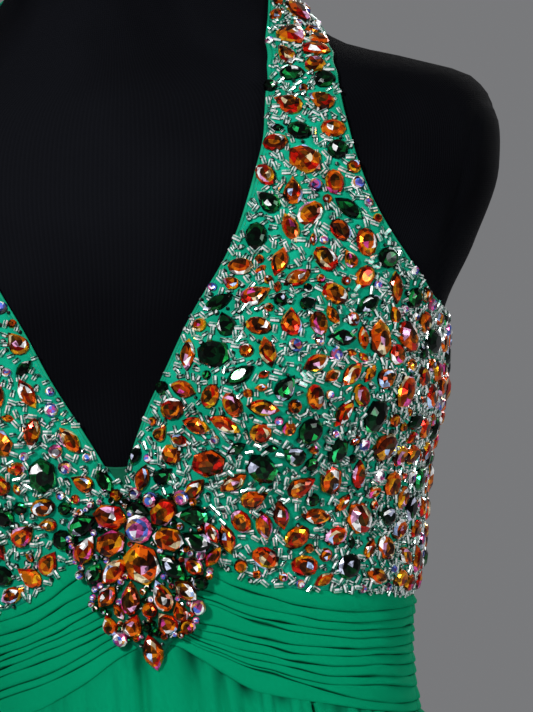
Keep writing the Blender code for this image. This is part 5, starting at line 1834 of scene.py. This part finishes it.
PLEAT_GAPS = (
    # side, line, turn, half length in degrees, width in metres
    (1, 9, 24.0, 3.4, 0.0010),
    (1, 7, 32.5, 3.0, 0.0015),
    (1, 6, 27.5, 4.0, 0.0021),
    (1, 5, 29.5, 4.0, 0.0017),
    (1, 4, 32.5, 3.4, 0.0012),
    (1, 3, 37.0, 3.2, 0.0011),
    (1, 2, 37.0, 3.6, 0.0010),
    (1, 0, 28.5, 5.0, 0.0017),
    (1, 0, 43.0, 2.2, 0.0007),
    (1, 5, 52.0, 3.0, 0.0007),
    (1, 2, 60.0, 4.0, 0.0008),
    (1, 7, 84.0, 5.0, 0.0018),
    (1, 4, 76.0, 3.6, 0.0008),
    (1, 3, 112.0, 5.0, 0.0012),
    (1, 6, 140.0, 6.0, 0.0014),
    (1, 8, 165.0, 4.0, 0.0010),
    (-1, 5, 41.0, 3.0, 0.0011),
    (-1, 3, 41.0, 3.2, 0.0010),
    (-1, 7, 20.0, 3.0, 0.0007),
    (-1, 2, 58.0, 4.0, 0.0011),
    (-1, 7, 79.0, 5.0, 0.0016),
    (-1, 4, 108.0, 6.0, 0.0012),
    (-1, 6, 147.0, 5.0, 0.0013),
)
PLEAT_PROFILE = (
    # share of the pleat's width, share of its rise
    (0.00, 0.15),
    (0.03, 0.70),
    (0.09, 1.00),
    (0.30, 0.96),
    (0.58, 0.66),
    (0.86, 0.30),
    (1.00, 0.02),
)
GROOVE = 0.00050
GROOVE_FLOOR = -0.00110
PLEAT_SLOPE, PLEAT_LEAST, PLEAT_MOST = 0.30, 0.0004, 0.00125
OPEN_GAP, SHADED_GAP = 0.00030, 0.00032
UNDER_LAP = 0.0016
LOWER_LAP = 0.0010
UNDER_DEEP = -0.0012
MIDRIFF_LIFT = 0.0020
MIDRIFF_STEP = 1.1
PLEAT_WALL = 0.0007
SIDE_FULL, SIDE_REACH, SIDE_TOP = 0.0022, 34, 0.004


def pleat_gap(side, line, turn):
    """How wide the groove at a pleat's edge stands open; no line is even for long."""
    gap = GROOVE * np.clip(0.80 + 0.45 * np.sin(turn * 0.16 + line * 2.3 + side)
                           + 0.30 * np.sin(turn * 0.43 + line * 1.1), 0.20, 1.5)
    for own_side, own_line, at, half, width in PLEAT_GAPS:
        if (own_side, own_line) == (side, line):
            gap = gap + width * bell(turn - at, half)
    return gap


def pleated_rows(sign, turn):
    """Heights, lifts and painted groove shade of all rows of a pleated piece at each turn."""
    table = LEFT_PLEATS if sign > 0 else RIGHT_PLEATS
    marks = curve([(at, *(row[k] for row in table)) for k, at in enumerate(PLEAT_TURNS)])
    shares = [np.zeros(turn.shape)] + list(np.moveaxis(read(marks, turn), -1, 0)) + [np.ones(turn.shape)]
    low = skirt_seam(sign * turn) - LOWER_LAP
    high = read_first(UNDERBUST, turn)
    heights, lifts, shades = [], [], []
    for k in range(len(shares) - 1):
        bottom, top = low + (high - low) * shares[k], low + (high - low) * shares[k + 1]
        gap_low = pleat_gap(sign, k - 1, turn) / 2 if k else 0.0
        gap_high = pleat_gap(sign, k, turn) / 2 if k < len(shares) - 2 else 0.0
        if k:
            heights.append(bottom)
            lifts.append(GROOVE_FLOOR * np.clip(gap_low / OPEN_GAP, 0.4, 1.5))
            # Painted shade on the groove floor, darker where the gap stands open wider.
            shades.append(np.clip(gap_low / SHADED_GAP, 0.30, 1.0))
        uneven = 0.72 + 0.32 * np.sin(turn * 0.13 + 2.1 * k) + 0.14 * np.sin(turn * 0.41 + k * k)
        pressed = np.clip(np.abs(turn - 90) / 2.5, 0.55, 1) * np.clip((180 - turn) / 3.0, 0.25, 1)
        rise = np.clip((top - bottom) * PLEAT_SLOPE, PLEAT_LEAST, PLEAT_MOST) * uneven * pressed
        for share, height in PLEAT_PROFILE:
            heights.append((bottom + gap_low) * (1 - share) + (top - gap_high) * share)
            lifts.append(rise * height)
            shades.append(np.zeros(turn.shape))
    heights.append(high + UNDER_LAP)
    lifts.append(np.full(turn.shape, UNDER_DEEP))
    shades.append(np.zeros(turn.shape))
    heights = np.array(heights)
    loose = SIDE_FULL * bell(turn - 90, SIDE_REACH) * ramp(high - heights, SIDE_TOP)
    return heights, np.array(lifts) + loose * (0.6 + 0.4 * (heights - low) / (high - low)), np.array(shades)


def build_midriff(name, marks, sign):
    """One pleated piece of the midriff."""
    ends = panel_turns(marks, CLOTH_SEAM)
    first, last = ends[0], ends[-1]
    turn = np.linspace(first, last, round((last - first) / MIDRIFF_STEP))
    heights, lifts, shades = pleated_rows(sign, turn)
    spread = np.broadcast_to(turn, heights.shape)
    points = over_figure(sign * spread, heights, MIDRIFF_LIFT + lifts)
    uv = cloth_uv(sign * spread, heights)
    item = grid_object(name + "_pleats", points, uv, CHIFFON, flip=sign < 0)
    # The groove floors carry painted shade.
    store(item, "painted_fold_shade", shades)
    return on_body(thicken(item, PLEAT_WALL), [name])


midriff = {}
for name, marks, sign in (("midriff_front_left", FRONT_TURNS, 1), ("midriff_back_left", BACK_TURNS, 1),
                          ("midriff_front_right", FRONT_TURNS, -1), ("midriff_back_right", BACK_TURNS, -1)):
    midriff[name] = build_midriff(name, marks, sign)
print("midriff pieces", len(midriff))

# %% [markdown]
# The neck strap is plain satin: the beading stops at the shoulder, where a seam joins
# it, and it closes at the nape. It is a simple grid over the figure with a thin wall.

# %% The neck strap
STRAP_ACROSS = 10
STRAP_SOFTNESS = 0.00025


def build_neck_strap(side, sign):
    """One half of the neck strap between its two edges."""
    start_gap = math.degrees(SEAM_GAP / NAPE_R)
    neck = np.array([(STRAP_NAPE[0][0] + start_gap, STRAP_NAPE[0][1])] + [a for a, _ in NAPE_EDGES])
    arm = np.array([(STRAP_NAPE[0][2] + start_gap, STRAP_NAPE[0][3])] + [b for _, b in NAPE_EDGES])
    share = np.linspace(0, 1, STRAP_ACROSS)[:, None, None]
    rows = arm[None] * (1 - share) + neck[None] * share
    turn, z = rows[..., 0], rows[..., 1]
    soft = STRAP_SOFTNESS * np.sin(share[..., 0] * 9 + turn * 0.05) * np.sin(math.pi * share[..., 0])
    points = over_figure(sign * turn, z, CLOTH_LIFT + soft)
    item = grid_object(f"neck_strap_{side}_satin", points, cloth_uv(sign * turn, z), SATIN, flip=sign < 0)
    return on_body(thicken(item, CLOTH_WALL), [f"neck_strap_{side}"])


straps = {side: build_neck_strap(side, sign) for side, sign in (("left", 1), ("right", -1))}
print("neck straps", len(straps))

# %% [markdown]
# The skirt leaves the figure just under its seam and falls in deep soft folds. Its shape
# is a sum of simple parts: main folds down the whole length, small gathers that fade out
# below the seam, a few deeper hollows listed one by one, and soft dents between the folds.

# %% The skirt
FOLD_SHARES = np.array([1.00, 0.85, 1.15, 0.95, 1.10, 0.80, 1.20, 1.00, 0.90,
                        1.05, 0.95, 1.10, 0.85, 1.15, 1.00, 0.90, 1.10, 0.95])
FOLD_DEPTHS = np.array([1.00, 0.80, 1.10, 0.90, 1.05, 0.75, 1.15, 0.85, 1.00,
                        1.10, 0.80, 1.00, 0.90, 1.15, 0.90, 0.85, 1.05, 0.95])
TUCK = 0.0016
SEAM_SOFT = 0.004
GATHER_LENGTH = 0.06
GATHER_DEPTH = 0.0034
POCKET_LONG, POCKET_SHADE = 0.010, 0.75
SHADE_REACH, DEEPEST_SHADE = 0.16, 0.9
GATHER_FADE = 0.075
SWELL, SWELL_START = 0.0030, 0.012
CALM = ((-180, 1.0), (-70, 1.0), (-46, 0.45), (-30, 0.16), (-12, 0.18), (-3, 0.35), (12, 0.45), (28, 0.50),
        (38, 0.35), (50, 0.60), (70, 1.0), (180, 1.0))
# The last column is painted shade at the top of each hollow, under the seam.
HOLLOWS = (
    # turn, half width in degrees, depth, length down the skirt, shade under the seam
    (-1.2, 1.4, 0.0060, 0.080, 0.75),
    (-8.0, 1.3, 0.0020, 0.050, 0.10),
    (-24.0, 2.6, 0.0020, 0.050, 0.15),
    (-40.0, 2.0, 0.0026, 0.060, 0.30),
    (10.6, 1.6, 0.0052, 0.070, 0.85),
    (16.8, 1.4, 0.0040, 0.065, 0.60),
    (22.6, 2.3, 0.0042, 0.036, 0.90),
    (31.5, 1.9, 0.0028, 0.026, 0.80),
    (47.5, 2.2, 0.0030, 0.060, 0.60),
    (56.0, 2.0, 0.0024, 0.045, 0.45),
    (-55.0, 2.2, 0.0030, 0.060, 0.50),
    (82.0, 2.4, 0.0030, 0.050, 0.50),
    (-78.0, 2.0, 0.0026, 0.070, 0.50),
    (118.0, 2.6, 0.0032, 0.050, 0.60),
    (152.0, 2.2, 0.0026, 0.070, 0.40),
    (-106.0, 2.4, 0.0030, 0.055, 0.50),
    (-139.0, 2.6, 0.0032, 0.060, 0.55),
    (-166.0, 2.0, 0.0024, 0.050, 0.40),
)
SLIT = {"turn": 40.2, "half": 0.50, "deep": 0.0085, "long": 0.040}
FINE_DEPTH, FINE_START = 0.0062, 1.8
SOFT_REACH = 0.30
SOFT_FOLDS = (
    # turn, half width in degrees, depth, share of the length where it is deepest
    (8, 3.0, 0.0060, 0.20),
    (23, 4.0, 0.0045, 0.45),
    (41, 3.0, 0.0070, 0.30),
    (67, 4.5, 0.0060, 0.60),
    (98, 3.5, 0.0050, 0.35),
    (131, 4.0, 0.0065, 0.50),
    (163, 3.0, 0.0045, 0.25),
    (-14, 3.5, 0.0050, 0.55),
    (-35, 3.0, 0.0070, 0.30),
    (-58, 4.0, 0.0050, 0.40),
    (-84, 3.5, 0.0065, 0.65),
    (-112, 4.5, 0.0050, 0.30),
    (-148, 3.0, 0.0060, 0.45),
    (-171, 3.5, 0.0045, 0.35),
)
TOP_SHARE, TOP_ROWS, LOWER_ROWS = 0.085, 30, 40
SKIRT_COLUMNS = 2.1
SKIRT_FLARE = 1.6
SIDE_SEAM_R, BACK_SEAM_R = 0.13, 0.10
SKIRT_WALL = 0.0008


def uneven_folds(seed, count, widths, depths):
    """Seeded widths and depths of a number of folds, each between a least and a most."""
    rng = random.Random(seed)
    return [np.array([rng.uniform(*span) for _ in range(count)]) for span in (widths, depths)]


GATHERS = uneven_folds(47, 74, (0.6, 1.5), (0.45, 1.25))
FINE_FOLDS = uneven_folds(63, 57, (0.6, 1.5), (0.3, 1.2))


def across_folds(turn, widths):
    """Which fold each turn lies in, and its share of the way across that fold."""
    ends = np.cumsum(widths)
    at = (turn % 360) / 360 * ends[-1]
    k = np.minimum(np.searchsorted(ends, at), len(widths) - 1)
    return k, (at - ends[k] + widths[k]) / widths[k]


def fold_wave(turn):
    """The main folds' wave and depth factor at each turn."""
    k, share = across_folds(turn, FOLD_SHARES)
    return np.cos(2 * np.pi * share), FOLD_DEPTHS[k]


def gather_wave(turn):
    """Small gathers at the seam, each of its own width and depth."""
    k, share = across_folds(turn, GATHERS[0])
    return np.abs(np.sin(np.pi * share)) ** 0.7 * GATHERS[1][k]


def fine_wave(turn):
    """Finer folds that hang between the main ones, each of its own width and depth."""
    k, share = across_folds(turn, FINE_FOLDS[0])
    return -np.sin(np.pi * share) ** 2 * FINE_FOLDS[1][k]


def calm_share(turn):
    """How strongly the small gathers show at each turn."""
    return np.interp(wrapped(turn), *np.array(CALM).T)


def hollows(turn, down, shaded=False):
    """The deeper dips that the table lists, or the shade that collects at their tops."""
    total = 0.0
    for at, half, depth, length, shade in HOLLOWS:
        # With shaded set, this sums painted shade rather than depth.
        size, reach = (shade, SHADE_REACH * length) if shaded else (depth, length)
        total = total + size * bell(wrapped(turn - at), half) * bell(down, reach)
    return total


def skirt_surface(turn, z, lift):
    """Close to the figure at the seam, gathered there and folded below."""
    row = read(SKIRT, z)
    wave, depth = fold_wave(turn)
    seam = skirt_seam(turn)
    down = np.maximum(seam - z, 0.0)
    near = ramp(down, GATHER_LENGTH)
    near = near * near * (3 - 2 * near)
    fade = ramp(down, SEAM_SOFT) * bell(down, GATHER_FADE)
    length = down / (seam - HEM_Z)
    soft = 0.0
    for at, half, deep, middle in SOFT_FOLDS:
        soft = soft - deep * bell(wrapped(turn - at), half) * bell(length - middle, SOFT_REACH)
    slit = SLIT["deep"] * bell(turn - SLIT["turn"], SLIT["half"]) * np.exp(-down / SLIT["long"])
    swell = SWELL * ramp(down, SWELL_START) * bell(down, GATHER_FADE)
    gathered = (GATHER_DEPTH * gather_wave(turn) * calm_share(turn) - slit) * fade + swell
    gathered = gathered - hollows(turn, down) * ramp(down, SWELL_START)
    soft = soft + FINE_DEPTH * fine_wave(turn) * np.clip(length * FINE_START, 0, 1)
    close = over_figure(turn, z, lift + gathered)
    base = section_point(row, turn, z)
    outward = np.stack([base[..., 0], base[..., 1] - row[..., 3], 0 * base[..., 0]], axis=-1)
    fall = base + unit(outward) * (row[..., 5] * depth * wave + lift - CLOTH_OUT + soft * near
                                   + gathered)[..., None]
    return close + (fall - close) * near[..., None]


def pocket_shade(turn, z):
    """Painted shade in the small pockets between gathers, close under the seam."""
    down = np.maximum(skirt_seam(turn) - z, 0.0)
    long = POCKET_LONG * (0.7 + 0.5 * np.sin(turn * 0.21 + 1.0))
    hollow = np.clip(1.15 - 1.6 * gather_wave(turn), 0, 1) * calm_share(turn)
    small = POCKET_SHADE * hollow * bell(down, long)
    return np.clip(small + hollows(turn, down, shaded=True), 0, DEEPEST_SHADE)


def skirt_rows():
    """Shares of the skirt's length, close together under the seam."""
    lower = np.linspace(TOP_SHARE, 1.0, LOWER_ROWS)
    return np.concatenate([np.linspace(0, TOP_SHARE, TOP_ROWS), lower[1:]])


def build_skirt(name, first, last):
    """One gore of the skirt, from its hem up to its seam."""
    half_gap = [math.degrees(CLOTH_SEAM / 2 / (SIDE_SEAM_R if abs(end) != 180 else BACK_SEAM_R / ZIP_SHARE))
                for end in (first, last)]
    turn = np.linspace(first + half_gap[0], last - half_gap[1], round((last - first) * SKIRT_COLUMNS))
    share = skirt_rows()[::-1, None]
    seam = skirt_seam(turn) + UNDER_LAP
    z = seam + (HEM_Z - seam) * share
    turn = np.broadcast_to(turn, z.shape)
    tucked = ramp(z - seam + UNDER_LAP + LOWER_LAP, UNDER_LAP)
    points = skirt_surface(turn, z, CLOTH_LIFT - TUCK * tucked)
    item = grid_object(name + "_chiffon", points, cloth_uv(turn * SKIRT_FLARE, z), CHIFFON)
    # The pockets under the seam carry painted shade.
    store(item, "painted_fold_shade", pocket_shade(turn, z))
    return on_body(thicken(item, SKIRT_WALL), [name])


skirt = {name: build_skirt(name, first, last) for name, first, last in
         (("skirt_front", -90, 90), ("skirt_back_left", 90, 180), ("skirt_back_right", -180, -90))}
print("skirt gores", len(skirt))

# %% [markdown]
# The bottom of the V is closed by a small folded piece that is sewn behind both fronts.
# Its satin is coloured darker as painted shade.

# %% The inset behind the V
INSET_LIFT = 0.0013
INSET_ROWS, INSET_COLUMNS = 14, 15
INSET_UNDER = 0.0012
INSET_FOLD, FOLD_HIGH = 0.0003, 0.0012
INSET_BELOW, INSET_TRIM = 0.0008, 0.0004
INSET_TIP_HALF, DIP_LENGTH = 0.0003, 0.014


def build_inset():
    """A small piece that fills the V below its opening, tucked behind both fronts."""
    opening, half_width = NECKLINE_ROWS[0]
    z = np.linspace(INSET_TIP_Z - INSET_BELOW, opening - INSET_TRIM, INSET_ROWS)[:, None]
    reach = (z - INSET_TIP_Z) / (opening - INSET_TIP_Z) * half_width
    across = np.linspace(-1, 1, INSET_COLUMNS)[None, :]
    dip = (V_BOTTOM_Z - opening) * (1 - across ** 2) * ramp(z - INSET_TIP_Z, DIP_LENGTH)
    high = z + dip + 0 * across
    turn = turn_at(np.maximum(reach + INSET_UNDER, INSET_TIP_HALF) * across, high)
    fold = INSET_FOLD * bell(z - z.max(), FOLD_HIGH) + 0 * across
    points = over_figure(turn, high, INSET_LIFT + fold)
    # The darker satin stands for the shade at the bottom of the V.
    item = grid_object("inset_satin", points, cloth_uv(turn, high), INSET_SATIN_PAINTED_SHADE)
    return on_body(thicken(item, PLEAT_WALL), ["centre_inset"])


inset = build_inset()
print("inset points", len(inset.data.vertices))

# %% [markdown]
# A gown like this closes with a fine coil zip at centre back. Its teeth are one small
# shape repeated along a line, and so are all stitches, so one Geometry Nodes tree sets any
# piece in a row: it turns a drawn line into a curve, divides it by the spacing and turns
# each piece along the line with its back to the cloth.

# %% The tree that sets pieces in a row
def row_tree():
    """A line in, evenly set pieces out."""
    tree, given, out = new_tree(
        "set_in_a_row", "GeometryNodeTree",
        [("Line", "Geometry"), ("Piece", "Object"), ("Spacing", "Float"), ("Finish", "Material")],
        [("Row", "Geometry")])
    path = node(tree, "GeometryNodeMeshToCurve", {"Mesh": given["Line"]})
    even = node(tree, "GeometryNodeResampleCurve", {"Curve": path.outputs["Curve"],
                                                    "Length": given["Spacing"]}, mode="LENGTH")
    along = node(tree, "GeometryNodeInputTangent")
    turn = node(tree, "FunctionNodeAxesToRotation", {
        "Primary Axis": along.outputs["Tangent"],
        "Secondary Axis": kept_value(tree, "up", "FLOAT_VECTOR")}, primary_axis="X", secondary_axis="Z")
    placed = node(tree, "GeometryNodeInstanceOnPoints", {
        "Points": even.outputs["Curve"], "Instance": of_object(tree, given["Piece"]),
        "Rotation": turn.outputs["Rotation"]})
    return finish_tree(tree, out, "Row", placed.outputs["Instances"], given["Finish"])


ROW = row_tree()


def drawn_line(name, points, ups):
    """A line of edges that carries which way is up from the cloth."""
    mesh = bpy.data.meshes.new(name)
    mesh.from_pydata(points.tolist(), [(k, k + 1) for k in range(len(points) - 1)], [])
    item = new_object(name, mesh)
    store(item, "up", ups, "FLOAT_VECTOR")
    return item


def tapered_piece(name, rings, sides):
    """A small closed shape along x through rings of (x, half width, half height, rise)."""
    points = []
    for x, half_w, half_h, rise in rings:
        points += [(x, half_w * math.cos(2 * math.pi * k / sides),
                    rise + half_h * math.sin(2 * math.pi * k / sides)) for k in range(sides)]
    item = add_mesh(name, points, tube_faces(len(rings), sides), GEM, smooth=False)
    item.hide_render = True
    return item


def pointed_piece(name, tip, body, half_long, shoulder, sides):
    """A piece alike at both ends; tip and body are (half width, half height, rise)."""
    rings = [(-half_long, *tip), (-shoulder, *body), (shoulder, *body), (half_long, *tip)]
    return tapered_piece(name, rings, sides)


stitch = pointed_piece("one_stitch", (0.00008, 0.00006, 0.0), (0.00018, 0.00013, 0.00010), 0.0011, 0.0006, 5)
tooth = pointed_piece("one_coil_turn", (0.0009, 0.00012, 0.0), (0.0016, 0.00028, 0.0), 0.00042, 0.00022, 6)
THREAD = cloth_material("green_thread", (0.002, 0.34, 0.17), (0.001, 0.24, 0.12), 3000.0, 0.00002,
                        {"Roughness": 0.5, "Sheen Weight": 0.2, "Specular IOR Level": 0.4})
COIL = stand_material("green_coil", (0.004, 0.20, 0.10), (0.03, 0.25, 0.15), 0.15, {"Coat Weight": 0.3})
ENAMEL = stand_material("green_enamel", (0.004, 0.16, 0.085), (0.10, 0.24, 0.17), 0.20,
                        {"Metallic": 0.35, "Coat Weight": 0.7, "Coat Roughness": 0.12})
print("stitch and coil faces", len(stitch.data.polygons), len(tooth.data.polygons))

# %% [markdown]
# Each turned edge is caught down by a row of stitches just inside it. Two rows run beside
# the zip, its coil lies between them, and one more row holds the hem.

# %% Sew the edges and set the zip
STITCH_SPACING = 0.0032
STITCH_LIFT = 0.0001
BINDING_STITCH = 0.0021
INNER_STEP = 0.003
ZIP_TOP, ZIP_END = 1.262, 0.985
COIL_SPACING = 0.00095
COIL_LIFT = 0.0024
WELT, WELT_LIFT = 0.0062, 0.0004
ZIP_POINTS = 150
HEM_STITCH, HEM_SPACING, HEM_POINTS = 0.0120, 0.0036, 900


def run_row(name, points, ups, piece, spacing, finish, slot):
    """One row of stitches or teeth on the body."""
    base = drawn_line(name + "_line", points, ups)
    item = run_tree(name, ROW, base, {"Piece": piece, "Spacing": spacing, "Finish": finish})
    bpy.data.objects.remove(base)
    return on_body(item)


def inner_line(line, sign, inset):
    """An edge line moved into its panel."""
    flat = fine_line(signed(line, sign), INNER_STEP)
    return from_flat(flat + flat_normals(flat) * inset * sign)


def back_path(offset, lift):
    """Points down the centre back, beside the zip by an offset, over bodice, midriff and skirt."""
    z = np.linspace(ZIP_TOP, ZIP_END, ZIP_POINTS)
    radius = figure_point(180.0, z)[:, 1]
    turn = 180 - np.degrees(offset / radius)
    seam = skirt_seam(np.full(z.shape, 180.0))
    upper, lower = over_figure(turn, z, lift), skirt_surface(turn, np.minimum(z, seam), lift)
    share = ramp(seam + SEAM_SOFT - z, 2 * SEAM_SOFT)[:, None]
    points = upper * (1 - share) + lower * share
    return points, np.broadcast_to([0.0, 1.0, 0.0], points.shape)


rows = []
for side, sign in (("left", 1), ("right", -1)):
    for place, line in EDGE_LINES[sign].items():
        turn, z = inner_line(line, sign, BINDING_STITCH)
        rows.append(run_row(f"stitches_{place}_{side}", over_figure(turn, z, CLOTH_LIFT + STITCH_LIFT),
                            figure_frame(turn, z)[1], stitch, STITCH_SPACING, THREAD, "green_satin"))
    rows.append(run_row(f"stitches_zip_{side}", *back_path(sign * WELT, CLOTH_LIFT + WELT_LIFT), stitch,
                        STITCH_SPACING, THREAD, "green_chiffon"))
coil = run_row("zip_coil", *back_path(0.0, COIL_LIFT), tooth, COIL_SPACING, COIL, "green_zip")
turn = np.linspace(-180, 180, HEM_POINTS)
hem = skirt_surface(turn, np.full(turn.shape, HEM_Z + HEM_STITCH), CLOTH_LIFT + STITCH_LIFT)
outward = unit(np.stack([hem[:, 0], hem[:, 1], 0 * turn], axis=-1))
rows.append(run_row("stitches_hem", hem, outward, stitch, HEM_SPACING, THREAD, "green_chiffon"))
for name in ("zip_slider", "zip_pull_tab"):
    refinish(name, ENAMEL)
for item in (bugle, seed_bead, stitch, tooth):
    bpy.data.objects.remove(item)
print("rows of stitches", len(rows), "coil faces", len(coil.data.polygons))

# %% [markdown]
# Every cloth piece was cut flat before it was sewn, so each is written down with its flat
# width and length, the area inside its outline and how it is held. The pleats and panels
# are given as what shows; the skirt is cut twice as wide at the waist as its seam is long,
# and the gathering threads take that up.

# %% Say how each piece of cloth was cut
SHEETS = (
    # piece,                     width, length, area,   held,        rests on
    ("bodice_front_left_cloth", 0.225, 0.345, 0.0403, "stretched", ("jersey_torso",)),
    ("bodice_front_right_cloth", 0.225, 0.345, 0.0399, "stretched", ("jersey_torso",)),
    ("bodice_back_left_cloth", 0.195, 0.150, 0.0241, "stretched", ("jersey_torso",)),
    ("bodice_back_right_cloth", 0.195, 0.150, 0.0241, "stretched", ("jersey_torso",)),
    ("inset_satin", 0.021, 0.0175, 0.00015, "stretched", ("jersey_torso",)),
    ("neck_strap_left_satin", 0.0305, 0.1205, 0.0027, "stretched", ("jersey_torso",)),
    ("neck_strap_right_satin", 0.0305, 0.1205, 0.0027, "stretched", ("jersey_torso",)),
    ("applique_pad", 0.075, 0.0905, 0.0041, "laid", ("bodice_front_left_cloth", "midriff_front_left_pleats")),
    ("midriff_front_left_pleats", 0.187, 0.0872, 0.0143, "folded", ("jersey_torso",)),
    ("midriff_front_right_pleats", 0.187, 0.0832, 0.0140, "folded", ("jersey_torso",)),
    ("midriff_back_left_pleats", 0.1685, 0.0875, 0.0141, "folded", ("jersey_torso",)),
    ("midriff_back_right_pleats", 0.1685, 0.0846, 0.0137, "folded", ("jersey_torso",)),
    ("skirt_front_chiffon", 1.592, 1.128, 1.301, "gathered",
     ("midriff_front_left_pleats", "midriff_front_right_pleats")),
    ("skirt_back_left_chiffon", 0.818, 1.110, 0.637, "gathered", ("midriff_back_left_pleats",)),
    ("skirt_back_right_chiffon", 0.818, 1.110, 0.637, "gathered", ("midriff_back_right_pleats",)),
)
for name, width, length, area, held, under in SHEETS:
    item = bpy.data.objects[name]
    shown = sum(face.area for face in item.data.polygons)
    print(name, "cut", width, "by", length, "m; shown area over cut area", round(shown / area, 2))

# %% [markdown]
# A pale floor and the lights come last. A plain pale studio keeps the black form readable.
# A small bright key near the camera makes the glass flash, a wide fill softens the side,
# and a wide light behind draws the outline.

# %% The studio
AIM = Vector((0, 0, 1.2))
LIGHTS = (
    # name, place, size, power
    ("key", (-0.55, -2.05, 2.3), 0.28, 48.0),
    ("fill", (2.1, -1.2, 1.6), 0.8, 22.0),
    ("rim", (0.8, 2.2, 2.3), 0.9, 24.0),
)
FLOOR_HALF = 4
FLOOR_FINISH = {"Base Color": (0.62, 0.62, 0.63, 1), "Roughness": 0.8}
ROOM = {"Color": (0.86, 0.87, 0.90, 1), "Strength": 0.22}


def area_light(name, place, size, power):
    """A square soft light that looks at the bodice."""
    data = bpy.data.lights.new(name, "AREA")
    data.size = size
    data.energy = power
    item = new_object(name, data)
    item.location = place
    item.rotation_euler = (AIM - Vector(place)).to_track_quat("-Z", "Y").to_euler()


corners = [(x * FLOOR_HALF, y * FLOOR_HALF, 0) for x, y in ((-1, -1), (1, -1), (1, 1), (-1, 1))]
add_mesh("floor", corners, [range(4)], new_material("pale_floor", FLOOR_FINISH)[0], smooth=False)
for light in LIGHTS:
    area_light(*light)
world = bpy.data.worlds.new("studio")
bpy.context.scene.world = world
world.use_nodes = True
feed(world.node_tree, world.node_tree.nodes["Background"], ROOM)
bpy.context.scene.view_settings.view_transform = "Standard"
print("lights", [row[0] for row in LIGHTS])
